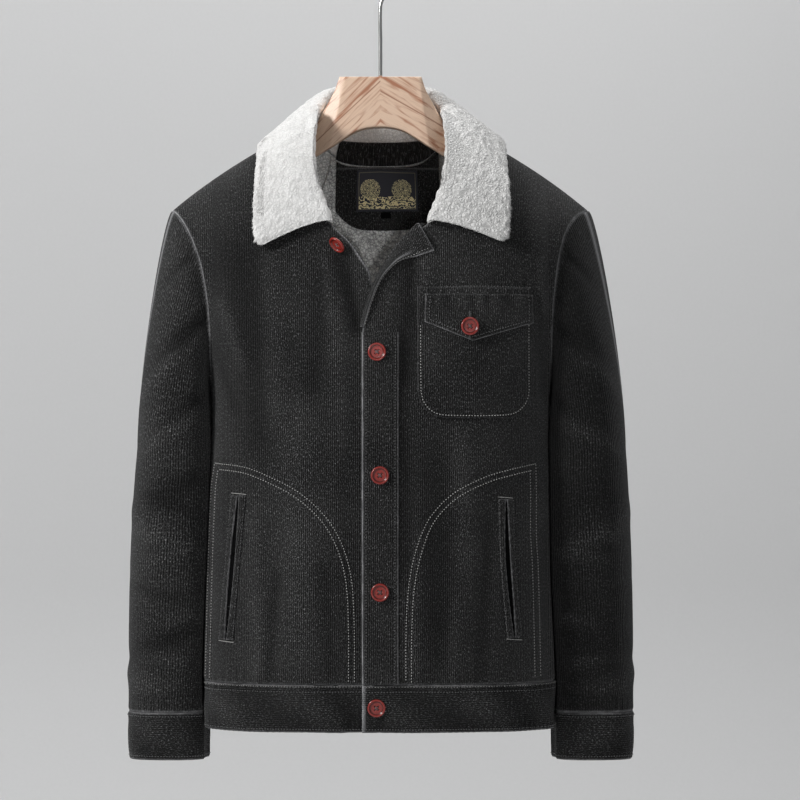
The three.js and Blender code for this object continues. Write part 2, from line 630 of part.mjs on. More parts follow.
// The turned-out top of the right front, wrapped round the front's edge
function addLapel() {
  const at = (key) => curve(LAPEL, 'at', key);
  const [rollX, rollZ, edgeX, edgeZ] = ['rollX', 'rollZ', 'edgeX', 'edgeZ'].map(at);
  const thick = 1.4;
  // Across it: the share of the way from roll to edge, and shift and lift below and above
  const section = [
    { out: 0, lowTuck: -1.2, lowLift: -2, tuck: 7, lift: -CLOTH - 2.4 },
    { out: 0, lowTuck: -1.8, lowLift: -1.2, tuck: 1, lift: -CLOTH - 2.2 },
    { out: 0, lowTuck: -1.9, lowLift: -0.3, tuck: -1.9, lift: -1.2 },
    { out: 0.02, lowTuck: 0, lowLift: 1.4, tuck: 0, lift: 1.4 },
    { out: 0.35, lowTuck: 0, lowLift: 2.3, tuck: 0, lift: 4.2 },
    { out: 0.7, lowTuck: 0, lowLift: 2.4, tuck: 0, lift: 4.4 },
    { out: 1, lowTuck: 0, lowLift: 1.6, tuck: 0, lift: 2.6 },
  ];
  const centre = along(16).map((t) => section.map((row) => {
    const turned = row.out > 0 ? smooth(t * 3) : smooth((t - 0.56) / 0.25);
    const x = mix(rollX(t), edgeX(t), row.out) + mix(row.lowTuck, row.tuck, turned);
    const z = mix(rollZ(t), edgeZ(t), row.out);
    return onPanel(RIGHT, FRONT, x, z, 0).add(vector(0, -mix(row.lowLift, row.lift, turned), 0));
  }));
  const normals = gridNormals(centre, () => vector(0, FRONT, 0));
  addWall('lapel', offset(centre, normals, thick / 2), offset(centre, normals, -thick / 2), MATERIALS.corduroy);
}

const POCKET_LIFT = 4 * SEAM;

function addChestPocket() {
  const { left, right, top, bottom, corner, thick } = POCKET;
  const places = along(10).map((t) => {
    const z = mix(top, bottom, t ** 0.8);
    const into = Math.max(corner - (z - bottom), 0);
    const cut = corner - Math.sqrt(Math.max(corner ** 2 - into ** 2, 0));
    return along(6).map((u) => [mix(left + cut, right - cut, u), z]);
  });
  addOnPanel('pocket', RIGHT, FRONT, places, () => POCKET_LIFT, () => POCKET_LIFT + thick, MATERIALS.corduroy);
}

function flapBottom(x) {
  const { left, right, side, pointX, point } = FLAP;
  const t = x < pointX ? (x - left) / (pointX - left) : (right - x) / (right - pointX);
  return mix(side, point, t);
}

const FLAP_LIFT = POCKET_LIFT + POCKET.thick + SEAM;

function flapLift(x, z) {
  const hang = (FLAP.top - z) / (FLAP.top - FLAP.point);
  return FLAP_LIFT + 2.2 * hang * hang;
}

function addFlap() {
  const places = along(5).map((t) => along(10).map((u) => {
    const x = mix(FLAP.left, FLAP.right, u);
    return [x, mix(FLAP.top, flapBottom(x), t)];
  }));
  const low = (i, n, x, z) => flapLift(x, z);
  const high = (i, n, x, z) => flapLift(x, z) + FLAP.thick;
  addOnPanel('pocket_flap', RIGHT, FRONT, places, low, high, MATERIALS.corduroy);
}

function addPocketLips(side) {
  const slit = curve(SIDE_POCKETS[side], 'z', 'x');
  const rows = along(12).map((t) => mix(SIDE_POCKETS[side][0].z, SIDE_POCKETS[side][2].z, t));
  for (const [edge, way] of [['outer', side], ['inner', -side]]) {
    const places = rows.map((z) => along(2).map((u) => [slit(z) + way * (LIP.slit + LIP.wide * u), z]));
    const high = (i) => SEAM + (i === 2 ? 0.6 : LIP.thick);
    const name = `${side === LEFT ? 'left' : 'right'}_pocket_lip_${edge}`;
    addOnPanel(name, side, FRONT, places, () => SEAM, high, MATERIALS.corduroy);
  }
}

// The collar and what shows inside the neck

const across = COLLAR[COLLAR.length - 2];
const pastCentre = { ...across, seamX: -across.seamX, rollX: -across.rollX, edgeX: -across.edgeX };
const collarCurves = Object.fromEntries(Object.keys(across).map((key) => (
  [key, curve([...COLLAR, pastCentre].map((r, i) => ({ ...r, i })), 'i', key)]
)));
const STAND_STEPS = 5;
const FALL_STEPS = 8;

// Lifts a point clear of the torso's outer surface, by the shorter way
function liftOff(p, clear) {
  const side = p.x < 0 ? LEFT : RIGHT;
  const face = p.y < 0 ? FRONT : BACK;
  const need = depth(side, face, p.x, p.z, clear) - Math.abs(p.y);
  if (need <= 0) return p;
  const full = depth(side, face, p.x, crest(p.x) - SHOULDER_ROLL, clear);
  const share = Math.min(Math.abs(p.y) / full, 1);
  const top = crest(p.x) + clear - SHOULDER_ROLL * (1 - Math.sqrt(1 - share * share));
  if (top - p.z < need) return p.setZ(top);
  return p.setY(face * (Math.abs(p.y) + need));
}

const SEWN_GAP = 1.05;

// The middle of the collar's cloth: s from -1, the left end, round the back to 1, the
// right end; v from 0, the seam, through 1, the roll, to 2, the outer edge
function collarPoint(s, v) {
  return liftOff(collarLine(s, v), (collarHalf(s, v) + 0.7) * smooth((v - 0.3) / 0.4));
}

function collarLine(s, v) {
  const i = (1 - Math.abs(s)) * (COLLAR.length - 1);
  const side = s < 0 ? LEFT : RIGHT;
  const value = (key) => collarCurves[key](i);
  const wing = side === RIGHT ? smooth(Math.abs(s) * 1.4) : 0;
  const face = i < COLLAR.length / 2 ? FRONT : BACK;
  const seamDeep = depth(side, face, value('seamX'), value('seamZ'), -CLOTH / 2);
  const sideways = smooth((4.4 - i) / 1.2);
  const atEnd = smooth(1 - i);
  const seam = vector(
    side * (value('seamX') - SEWN_GAP * 2.2 * sideways),
    face * seamDeep,
    value('seamZ') + SEWN_GAP * (mix(1.2, 0.3, sideways) + atEnd),
  );
  const roll = vector(side * value('rollX'), value('rollY'), value('rollZ'));
  const edge = vector(
    side * (value('edgeX') + RIGHT_WING.reach * wing),
    value('edgeY'),
    value('edgeZ') + RIGHT_WING.rise * wing,
  );
  const fall = edge.clone().sub(roll);
  const outward = fall.clone().setZ(0).normalize();
  const roundness = Math.min(seam.distanceTo(roll), 30);
  if (v <= 1) {
    const up = roll.clone().sub(seam);
    return hermite(seam, up, roll, outward.clone().multiplyScalar(roundness), v);
  }
  const out = outward.clone().multiplyScalar(Math.max(roundness, 22) + 0.35 * fall.length());
  return hermite(roll, out, edge, fall.clone().add(vector(0, 0, -12)), v - 1);
}

function collarHalf(s, v) {
  const sewn = mix(CLOTH / 2, COLLAR_THICK / 2, smooth(v / 0.5));
  const edge = Math.sqrt(Math.max(1 - clamp((v - 1.9) / 0.1) ** 2, 0.06));
  const end = Math.sqrt(Math.max(1 - clamp((Math.abs(s) - 0.965) / 0.035) ** 2, 0.06));
  return sewn * edge * end;
}

function collarGrid(sides, across) {
  const centre = sides.map((s) => across.map((v) => collarPoint(s, v)));
  const normals = centre.map((row, j) => row.map((p, i) => {
    const step = 0.01;
    const [s, v] = [sides[j], across[i]];
    const round = collarPoint(Math.min(s + step, 1), v).sub(collarPoint(Math.max(s - step, -1), v));
    const over = collarPoint(s, Math.min(v + step, 2)).sub(collarPoint(s, Math.max(v - step, 0)));
    return over.cross(round).normalize();
  }));
  return { centre, normals };
}

function addCollar() {
  const halfRows = 13;
  const ends = [0.985];
  const sides = [...range(2 * halfRows + 1, (i) => i / halfRows - 1), ...ends, ...ends.map((e) => -e)];
  sides.sort((a, b) => a - b);
  const fallRows = along(FALL_STEPS).slice(1).map((t) => 1 + t * 0.96);
  const across = [...along(STAND_STEPS), ...fallRows, 1.985, 2];
  const { centre, normals } = collarGrid(sides, across);
  const place = (way) => centre.map((row, j) => row.map((p, i) => {
    const q = p.clone().addScaledVector(normals[j][i], way * collarHalf(sides[j], across[i]));
    const clear = 0.9 + (way > 0 ? 2 * collarHalf(sides[j], across[i]) : 0);
    return across[i] > 0.7 ? liftOff(q, clear) : q;
  }));
  addWall('collar', place(1), place(-1), MATERIALS.sherpa);
}

function addStandBand() {
  const height = (i) => STAND_BAND.tall / Math.max(Math.abs(collarCurves.rollZ(i) - collarCurves.seamZ(i)), 1);
  const spanX = (s) => Math.sign(s) * collarCurves.seamX((1 - Math.abs(s)) * (COLLAR.length - 1));
  const findS = (x) => range(200, (i) => -0.45 + (0.9 * i) / 199)
    .reduce((best, s) => (Math.abs(spanX(s) - x) < Math.abs(spanX(best) - x) ? s : best), 0);
  const from = findS(INSIDE_CENTRE_X - STAND_BAND.half);
  const to = findS(INSIDE_CENTRE_X + STAND_BAND.half);
  const sides = along(14).map((t) => mix(from, to, t));
  const rows = [0.08, 0.4, 0.7, 1];
  const lay = (away) => sides.map((s) => rows.map((v) => {
    const reach = v * height((1 - Math.abs(s)) * (COLLAR.length - 1));
    const { centre, normals } = collarGrid([s], [reach]);
    const inward = normals[0][0].y > 0 ? -1 : 1;
    return centre[0][0].addScaledVector(normals[0][0], inward * (collarHalf(s, reach) + away));
  }));
  addWall('stand_band', lay(4 * SEAM), lay(4 * SEAM + STAND_BAND.thick), MATERIALS.corduroy);
}

const LINING_LIFT = -CLOTH - 5 * SEAM;
const FACING_LIFT = LINING_LIFT - LINING.thick - 3 * SEAM;
const LABEL_LIFT = FACING_LIFT - FACING.thick - 2 * SEAM;

// A sheet inside the back, between two heights at each place across
function addInsideBack(name, columns, rows, place, lift, thick, material) {
  const places = along(rows).map((t) => along(columns).map((u) => place(u, t)));
  const lay = (by) => places.map((row) => row.map(
    ([x, z]) => onPanel(x < 0 ? LEFT : RIGHT, BACK, x, z, by),
  ));
  addWall(name, lay(lift), lay(lift - thick), material);
}

function addNeckInside() {
  const liningX = (u, t) => (2 * u - 1) * mix(LINING.topHalf, LINING.bottomHalf, smooth(t * 2));
  addInsideBack('neck_lining', 12, 8, (u, t) => {
    const top = backNeck(Math.abs(liningX(u, 0))) - 2;
    return [liningX(u, t), mix(top, LINING.bottom, t)];
  }, LINING_LIFT, LINING.thick, MATERIALS.lining);
  addInsideBack('neck_facing', 10, 4, (u, t) => {
    const x = INSIDE_CENTRE_X + (2 * u - 1) * FACING.half;
    const rounded = 22 * Math.abs(2 * u - 1) ** 4;
    return [x, mix(backNeck(Math.abs(x)) - 1.5, FACING.bottom + rounded, t)];
  }, FACING_LIFT, FACING.thick, MATERIALS.corduroy);
  const rectangle = ({ left, right, top, bottom }) => (u, t) => [mix(left, right, u), mix(top, bottom, t)];
  addInsideBack('neck_label', 6, 4, rectangle(LABEL), LABEL_LIFT, LABEL.thick, MATERIALS.label);
  addInsideBack('size_tag', 2, 1, rectangle(TAG), LABEL_LIFT, TAG.thick, MATERIALS.label);
}

// Buttons: a dished disc with a raised rim

function addButton({ name, x, z }, side, lift, lean = null) {
  const profile = [
    [0, 0], [8, 0], [BUTTON_R, 1], [BUTTON_R, 2.6], [8.9, 3.4], [7, 2.3], [0, 2.1],
  ].map(([r, h]) => new THREE.Vector2(r, h));
  const geometry = new THREE.LatheGeometry(profile, 14);
  geometry.deleteAttribute('normal');
  geometry.deleteAttribute('uv');
  const merged = mergeVertices(geometry, 1e-4);
  const at = onPanel(side, FRONT, x, z, lift);
  const axis = lean ?? onPanel(side, FRONT, x, z, lift + 1).sub(at);
  const turn = new THREE.Quaternion().setFromUnitVectors(vector(0, 1, 0), axis.clone().normalize());
  const place = merged.getAttribute('position');
  const points = range(place.count, (i) => vector(0, 0, 0).fromBufferAttribute(place, i)
    .applyQuaternion(turn).add(at));
  const index = Array.from(merged.index.array);
  const triangles = range(index.length / 3, (i) => index.slice(3 * i, 3 * i + 3))
    .filter(([a, b, c]) => a !== b && b !== c && a !== c);
  addSolid(name, points, triangles, MATERIALS.button);
}

function addButtons() {
  addButton(EDGE_BUTTON, LEFT, EDGE_BUTTON.lift, EDGE_BUTTON.lean);
  for (const b of PLACKET_BUTTONS) addButton(b, RIGHT, PLACKET.thick + 2 * SEAM);
  addButton(BAND_BUTTON, RIGHT, SEAM + 0.2);
  const flapTop = flapLift(FLAP_BUTTON.x, FLAP_BUTTON.z - BUTTON_R) + FLAP.thick;
  addButton(FLAP_BUTTON, RIGHT, flapTop + SEAM);
}

// Hanger and hook

function addHanger() {
  const arm = range(ARM.stations, (i) => {
    const x = mix(ARM.start, ARM.end, i / (ARM.stations - 1));
    const top = crest(x) - CLOTH - ARM.clear;
    const t = (x - ARM.start) / (ARM.end - ARM.start);
    return { x, top, bottom: top - mix(ARM.tallAtNeck, ARM.tallAtEnd, t), deep: ARM.deep };
  });
  const tip = { ...arm[arm.length - 1], x: ARM.end + 4 };
  tip.top -= 6;
  tip.bottom += 4;
  tip.deep -= 4;
  const right = [...HANGER, ...arm, tip];
  const stations = [...right.slice(1).reverse().map((r) => ({ ...r, x: -r.x })), ...right];
  const ring = ({ x, top, bottom, deep }) => {
    const round = Math.max(clamp((Math.abs(x) - 50) / 30), 0.2);
    return [
      [-2, top], [-deep + 3 * round, top - 4 * round], [-deep, top - 9 * round], [-deep, bottom + 5 * round],
      [-deep + 4 * round, bottom], [deep - 4 * round, bottom], [deep, bottom + 5 * round],
      [deep, top - 9 * round], [deep - 3 * round, top - 4 * round], [2, top],
    ].map(([y, z]) => vector(x, y, z));
  };
  const rings = stations.map(ring);
  const size = rings[0].length;
  const index = (j, i) => j * size + i;
  const last = rings.length - 1;
  const triangles = quads(rings.length, size, true, index, false);
  for (let i = 1; i < size - 1; i += 1) {
    triangles.push([index(0, 0), index(0, i + 1), index(0, i)]);
    triangles.push([index(last, 0), index(last, i), index(last, i + 1)]);
  }
  addSolid('hanger', rings.flat(), triangles, MATERIALS.wood);
}

function addHook() {
  const crown = WIRE_R - HOOK_R;
  const arc = range(15, (i) => {
    const angle = THREE.MathUtils.degToRad(mix(-12, 205, i / 14));
    return vector(HOOK_R * Math.cos(angle), 0, crown + HOOK_R * Math.sin(angle));
  });
  const base = HANGER[0].top + SEAM;
  const path = new THREE.CatmullRomCurve3([
    vector(0, 0, base), vector(0, 0, mix(base, SHANK_TOP_Z, 0.5)), vector(0, 0, SHANK_TOP_Z),
    vector(4, 0, SHANK_TOP_Z + 12), vector(14, 0, SHANK_TOP_Z + 25), ...arc,
  ]);
  const wire = new THREE.Shape(range(8, (i) => new THREE.Vector2(
    WIRE_R * Math.cos((i * Math.PI) / 4),
    WIRE_R * Math.sin((i * Math.PI) / 4),
  )));
  const geometry = new THREE.ExtrudeGeometry(wire, { steps: 30, extrudePath: path });
  geometry.deleteAttribute('normal');
  geometry.deleteAttribute('uv');
  const merged = mergeVertices(geometry, 1e-4);
  merged.computeVertexNormals();
  const mesh = new THREE.Mesh(merged, MATERIALS.steel);
  mesh.name = 'hook';
  jacket.add(mesh);
}

addPanels();
for (const side of [LEFT, RIGHT]) {
  addSleeve(side);
  addCuff(side);
  addPocketLips(side);
}
addWaistband();
addPlacket();
addLapel();
addChestPocket();
addFlap();
addCollar();
addStandBand();
addNeckInside();
addButtons();
addHanger();
addHook();

export default jacket;
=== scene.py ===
"""A charcoal corduroy jacket with a sherpa collar, hanging open and hollow on a wooden hanger.

The forms are worked out in millimetres, in the frame's own axes: +Z up, the jacket's front faces
-Y and the origin is the crown of the hanger's hook. Meshes are made in metres.
"""

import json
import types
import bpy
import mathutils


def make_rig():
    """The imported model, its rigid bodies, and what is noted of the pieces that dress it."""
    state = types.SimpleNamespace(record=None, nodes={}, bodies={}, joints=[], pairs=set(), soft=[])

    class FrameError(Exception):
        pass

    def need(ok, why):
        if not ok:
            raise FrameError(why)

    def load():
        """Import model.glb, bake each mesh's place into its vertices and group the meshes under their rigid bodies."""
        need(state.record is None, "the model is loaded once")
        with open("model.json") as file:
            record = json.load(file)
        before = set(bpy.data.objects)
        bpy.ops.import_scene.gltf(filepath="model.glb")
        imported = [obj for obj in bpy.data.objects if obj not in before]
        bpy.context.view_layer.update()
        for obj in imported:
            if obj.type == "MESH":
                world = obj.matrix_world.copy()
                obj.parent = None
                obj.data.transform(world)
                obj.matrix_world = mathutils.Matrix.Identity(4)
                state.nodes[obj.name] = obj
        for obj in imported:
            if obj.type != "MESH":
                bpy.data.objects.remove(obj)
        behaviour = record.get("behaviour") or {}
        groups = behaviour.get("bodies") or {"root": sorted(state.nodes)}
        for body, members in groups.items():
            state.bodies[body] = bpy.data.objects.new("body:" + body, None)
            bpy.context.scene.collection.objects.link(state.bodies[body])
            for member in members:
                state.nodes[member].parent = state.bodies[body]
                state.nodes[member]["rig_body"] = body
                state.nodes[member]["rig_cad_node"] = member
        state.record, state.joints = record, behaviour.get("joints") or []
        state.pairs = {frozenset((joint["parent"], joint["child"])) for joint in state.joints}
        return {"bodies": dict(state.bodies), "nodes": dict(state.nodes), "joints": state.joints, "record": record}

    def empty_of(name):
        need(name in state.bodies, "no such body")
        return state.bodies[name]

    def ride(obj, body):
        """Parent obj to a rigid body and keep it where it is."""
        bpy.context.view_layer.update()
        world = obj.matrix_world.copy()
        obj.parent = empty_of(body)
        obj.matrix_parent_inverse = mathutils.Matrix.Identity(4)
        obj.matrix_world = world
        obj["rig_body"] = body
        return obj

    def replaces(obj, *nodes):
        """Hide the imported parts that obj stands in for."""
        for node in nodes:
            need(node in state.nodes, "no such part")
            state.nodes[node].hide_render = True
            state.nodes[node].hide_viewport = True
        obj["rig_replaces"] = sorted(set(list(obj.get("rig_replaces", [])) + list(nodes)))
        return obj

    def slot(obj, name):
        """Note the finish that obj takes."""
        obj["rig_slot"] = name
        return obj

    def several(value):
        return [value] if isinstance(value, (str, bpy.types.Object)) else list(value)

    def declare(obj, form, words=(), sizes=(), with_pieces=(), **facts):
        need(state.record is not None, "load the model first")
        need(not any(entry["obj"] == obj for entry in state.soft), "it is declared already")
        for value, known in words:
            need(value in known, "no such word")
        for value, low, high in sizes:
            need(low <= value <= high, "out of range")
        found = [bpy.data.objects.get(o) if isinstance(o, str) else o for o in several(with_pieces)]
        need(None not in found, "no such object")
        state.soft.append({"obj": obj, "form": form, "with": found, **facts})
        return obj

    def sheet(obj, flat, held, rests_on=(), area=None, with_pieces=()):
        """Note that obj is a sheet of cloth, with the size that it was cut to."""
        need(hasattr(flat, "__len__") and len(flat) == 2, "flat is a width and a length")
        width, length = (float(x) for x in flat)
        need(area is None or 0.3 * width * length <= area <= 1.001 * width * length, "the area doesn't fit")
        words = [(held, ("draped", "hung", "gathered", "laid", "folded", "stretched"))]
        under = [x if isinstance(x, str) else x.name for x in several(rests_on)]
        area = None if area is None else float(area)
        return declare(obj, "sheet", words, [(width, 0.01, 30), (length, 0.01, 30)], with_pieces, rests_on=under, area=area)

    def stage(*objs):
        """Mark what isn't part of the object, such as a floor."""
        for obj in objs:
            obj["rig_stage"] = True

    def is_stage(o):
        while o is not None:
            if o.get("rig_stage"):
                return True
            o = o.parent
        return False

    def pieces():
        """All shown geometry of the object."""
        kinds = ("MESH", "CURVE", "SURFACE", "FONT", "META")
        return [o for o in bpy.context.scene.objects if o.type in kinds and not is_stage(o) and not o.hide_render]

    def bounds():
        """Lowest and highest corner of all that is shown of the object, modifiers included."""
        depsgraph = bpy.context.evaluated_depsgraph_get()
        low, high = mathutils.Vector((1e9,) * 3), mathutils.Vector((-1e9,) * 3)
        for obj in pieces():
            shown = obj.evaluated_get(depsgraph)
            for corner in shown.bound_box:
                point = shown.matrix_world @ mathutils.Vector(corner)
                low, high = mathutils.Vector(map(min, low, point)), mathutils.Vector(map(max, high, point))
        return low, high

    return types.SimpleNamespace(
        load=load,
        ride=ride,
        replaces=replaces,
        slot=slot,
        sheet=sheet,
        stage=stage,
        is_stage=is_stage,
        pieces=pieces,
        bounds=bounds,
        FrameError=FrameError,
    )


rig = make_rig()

bl_info = {
    "name": "Sherpa Lined Jacket",
    "version": (1, 0, 0),
    "blender": (4, 5, 0),
    "location": "View3D > Sidebar > Jacket",
    "description": "Dresses the packed frame of a hanging corduroy jacket with a sherpa collar",
    "category": "Add Mesh",
}

import json
import math

import bmesh
import bpy
import numpy as np
from mathutils import Vector, noise

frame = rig.load()
CAD_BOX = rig.bounds()

MM = 0.001
LEFT, RIGHT = -1, 1
FRONT, BACK = -1, 1

# Cloth and seams
CLOTH = 2.5
BAND_CLOTH = 3.0
SEAM = 0.3


def table(columns, rows):
    """Rows under named columns, as one dict for each row."""
    return [dict(zip(columns.split(), row)) for row in rows]


# Shoulders: the crest falls from the neck point to the shoulder tip
NECK_X = 79
NECK_Z = -194
TIP_X = 234
SHOULDER_SLOPE = 0.545
SHOULDER_DROP = 15
SHOULDER_ROLL = 95
SIDE_FULLNESS = 2.6

# Heights down the body
UNDERARM_Z = -500
HEM_SEAM_Z = -820
HEM_Z = -873.3

# The torso's half widths, and its depths in front of and behind the hanger's plane
TORSO = table("z left right front back", [
    (-880, 195.5, 195.5, 91, 82),
    (-820, 198.5, 196, 97, 87),
    (-700, 196, 191, 103, 90),
    (-600, 192.5, 190, 106, 93),
    (-500, 189, 190, 108, 98),
    (-440, 199, 200, 106, 99),
    (-400, 211, 212, 103, 97),
    (-350, 238, 238, 96, 92),
    (-300, 266, 266, 86, 84),
    (-250, 276, 276, 72, 72),
    (-190, 280, 280, 57, 60),
])

# The armhole from the underarm, at 0, to the shoulder tip, at 1
ARMHOLE = table("at left right z", [
    (0.0, 189, 190, -500),
    (0.11, 189, 190, -478),
    (0.22, 189.4, 190.4, -450),
    (0.33, 190.6, 191.4, -419),
    (0.44, 193.5, 193.5, -388),
    (0.56, 199, 197, -358),
    (0.67, 207, 202, -334),
    (0.78, 216, 209, -315),
    (0.89, 226, 220, -300.5),
    (1.0, TIP_X, TIP_X, -293.5),
])

# Front edges: x along each front's inner edge, up the opening and round the neck
LEFT_EDGE = table("z x", [
    (-880, 18), (-460, 18), (-425, 12), (-400, 2), (-381, -7.7), (-365, -13), (-350, -23),
    (-333, -34), (-313, -53), (-284, -72), (-250, -80), (-221, -82), (NECK_Z, -NECK_X),
])
RIGHT_EDGE = table("z x", [
    (-880, -19.8), (-440, -19.8), (-425, -19), (-404, -13), (-383, -5.5), (-363, 5),
    (-345, 17), (-330, 28), (-313, 51), (-284, 72), (-250, 80), (-221, 82),
    (NECK_Z, NECK_X),
])
BACK_NECK = table("x z", [
    (0, -237), (25, -236.4), (48, -231.9), (66, -217), (74, -206), (NECK_X, NECK_Z),
])
UNDERLAP = dict(start=-52, over=28, inset=5.9)
EDGE_ROLL = dict(z=-346, tall=22, wide=26, forward=14)

# The largest folds, as in the frame: a line from (x, z) to (x, z)
FOLDS = table("side face x0 z0 x1 z1 wide high", [
    (LEFT, FRONT, -150, -330, -128, -560, 26, -3.5),
    (LEFT, FRONT, -92, -520, -88, -800, 24, 3),
    (RIGHT, FRONT, 62, -560, 66, -800, 20, -3),
    (LEFT, BACK, -120, -330, -105, -640, 26, 4),
    (RIGHT, BACK, 132, -350, 112, -680, 26, 4),
    (LEFT, BACK, -60, -560, -52, -800, 22, -3.5),
    (RIGHT, BACK, 48, -520, 58, -790, 24, -3),
])
# Smaller creases, given one by one
CREASES = table("face x0 z0 x1 z1 wide high", [
    (FRONT, -45, -335, -24, -432, 9, -4.5),
    (FRONT, -60, -352, -52, -420, 7, 1.6),
    (FRONT, -176, -395, -150, -470, 9, 2.8),
    (FRONT, -186, -440, -158, -520, 8, -2.4),
    (FRONT, -120, -355, -112, -540, 12, 2.3),
    (FRONT, -62, -360, -70, -500, 12, -2.6),
    (FRONT, -42, -400, -38, -560, 9, 2.1),
    (FRONT, -138, -640, -132, -812, 10, 2.6),
    (FRONT, -112, -700, -122, -818, 8, -2.3),
    (FRONT, -60, -690, -52, -818, 9, -2.4),
    (FRONT, 28, -440, 31, -700, 8, -2.3),
    (FRONT, 36, -350, 32, -480, 11, -3.5),
    (FRONT, 52, -345, 44, -400, 9, 2.4),
    (FRONT, 92, -540, 98, -690, 13, 2.8),
    (FRONT, 120, -640, 112, -815, 9, -2.3),
    (FRONT, 44, -650, 40, -818, 8, 2.1),
    (FRONT, 86, -730, 80, -818, 8, 2.3),
    (FRONT, 178, -350, 182, -415, 5, 3.0),
    (FRONT, 176, -415, 181, -500, 6, -2.3),
    (FRONT, 183, -520, 180, -640, 6, 1.8),
    (BACK, -182, -400, -140, -500, 10, 3.5),
    (BACK, 182, -390, 150, -510, 10, 3.5),
    (BACK, -170, -440, -120, -560, 11, -3.1),
    (BACK, 176, -450, 136, -580, 10, -3.0),
    (BACK, -30, -300, -44, -520, 14, 2.4),
    (BACK, 36, -320, 28, -560, 15, -2.6),
    (BACK, -90, -620, -84, -815, 11, 2.8),
    (BACK, 2, -600, 6, -815, 12, 2.6),
    (BACK, 92, -640, 98, -818, 10, 2.8),
    (BACK, 140, -660, 132, -818, 9, -2.4),
    (BACK, -136, -690, -142, -818, 9, -2.6),
])

# Sleeves below the armhole: outer and inner sides, front and back
SLEEVE = table("z left right inner front back", [
    (-560, 274, 276.5, 180, -58, 88),
    (-620, 279, 280.5, 180, -52, 87),
    (-690, 282.5, 283.5, 182, -46, 82),
    (-770, 284, 285, 186, -38, 73),
    (-856, 284, 285, 190, -27, 59),
    (-910, 282, 283, 192, -24, 55),
])
BODY_CLEAR = 1.8
SLEEVE_FULLNESS = 2.3
CAP_SINK = 2.4
CUFF_SEAM_Z = -856
CUFF_END_Z = -909.7
CAP_LEAVES = 42
UNDERARM_LEAVES = 28
# Creases round a sleeve, the frame's own first: height, angle from the outer side, and size
SLEEVE_FOLDS = table("z angle rise tall spread high", [
    (-430, 95, 60, 16, 45, -4),
    (-600, 110, 30, 14, 55, -3.5),
    (-655, 70, -35, 12, 60, 3),
    (-700, 250, 30, 14, 60, -3.5),
    (-775, 90, 25, 12, 70, -3),
    (-825, 60, -20, 11, 80, 2.5),
])
SLEEVE_CREASES = table("z angle rise tall spread high", [
    (-352, 62, 70, 10, 30, -3.2),
    (-385, 120, 80, 9, 28, 3.1),
    (-470, 70, 66, 11, 34, 3.1),
    (-505, 120, 50, 9, 36, -3.4),
    (-548, 80, 44, 9, 40, 2.9),
    (-625, 95, -26, 8, 38, -3.1),
    (-676, 110, 22, 8, 40, 2.5),
    (-722, 75, -24, 8, 46, -2.7),
    (-748, 120, 26, 7, 40, 2.5),
    (-800, 110, -18, 7, 50, 2.5),
    (-838, 100, 10, 6, 70, -2.5),
    (-400, 250, -60, 12, 34, -3.7),
    (-455, 285, -50, 10, 36, 3.1),
    (-560, 255, -36, 10, 40, 3.4),
    (-640, 290, 28, 9, 44, -3.1),
    (-742, 270, -20, 8, 50, 2.9),
    (-812, 280, 16, 7, 60, -2.5),
])

# The collar, from its front end to the centre of the back
COLLAR_THICK = 8
COLLAR = table("seam_x seam_z roll_x roll_y roll_z edge_x edge_y edge_z", [
    (54, -313, 57, -98, -309, 137, -96, -339),
    (72, -284, 72, -80, -267, 140, -88, -313),
    (80, -250, 78, -54, -231, 140, -72, -279),
    (82, -221, 78, -26, -198, 138, -42, -247),
    (79, -194, 71, 7, -176, 136, 2, -221),
    (74, -206, 58, 38, -158, 118, 48, -233),
    (48, -231.5, 34, 60, -151, 72, 82, -238),
    (0, -237, 0, 68, -149, 0, 95, -236),
])
RIGHT_WING = dict(reach=3.5, rise=5)
SEWN_GAP = 1.05
TIP_START = 0.945
TIP_ROUND = 10

# The front closure
PLACKET = dict(left=-19.8, right=20.4, top=-432, thick=1.2)
BUTTONS = [
    dict(name="button_1", side=LEFT, x=-44.5, z=-333, lift=7.6, lean=(-0.61, -0.5, -0.61)),
    dict(name="button_2", side=RIGHT, x=-3.3, z=-453.6, lift=1.8),
    dict(name="button_3", side=RIGHT, x=0, z=-588.9, lift=1.8),
    dict(name="button_4", side=RIGHT, x=0, z=-717.6, lift=1.8),
    dict(name="button_5", side=RIGHT, x=-3.9, z=-845.2, lift=0.5),
    dict(name="pocket_button", side=RIGHT, x=97.4, z=-425.6, lift=6.7),
]
LAPEL = table("at roll_x roll_z edge_x edge_z", [
    (0, -19.5, -426, -17.5, -426),
    (0.25, -14, -402, -9, -398),
    (0.5, -5, -377, 3, -371),
    (0.7, 9, -352, 22, -353.5),
    (0.85, 24, -331, 42, -348),
    (1, 43, -311.5, 60, -342),
])

# Chest pocket, its flap, and the side pockets' lips
POCKET = dict(left=41.5, right=166.5, top=-382, bottom=-526.5, corner=30, thick=1)
POCKET_LIFT = 4 * SEAM
FLAP = dict(left=49.5, right=167, top=-390, side=-421, point_x=101, point=-441.5, thick=1.8)
FLAP_LIFT = POCKET_LIFT + POCKET["thick"] + SEAM
FLAP_HANG = 2.2
LIP = dict(wide=7.6, thick=2.2, slit=0.6)
SIDE_POCKETS = {
    LEFT: [dict(z=-772, x=-170.4), dict(z=-683, x=-162.5), dict(z=-612, x=-156)],
    RIGHT: [dict(z=-769, x=148), dict(z=-683, x=140.5), dict(z=-616, x=138.5)],
}

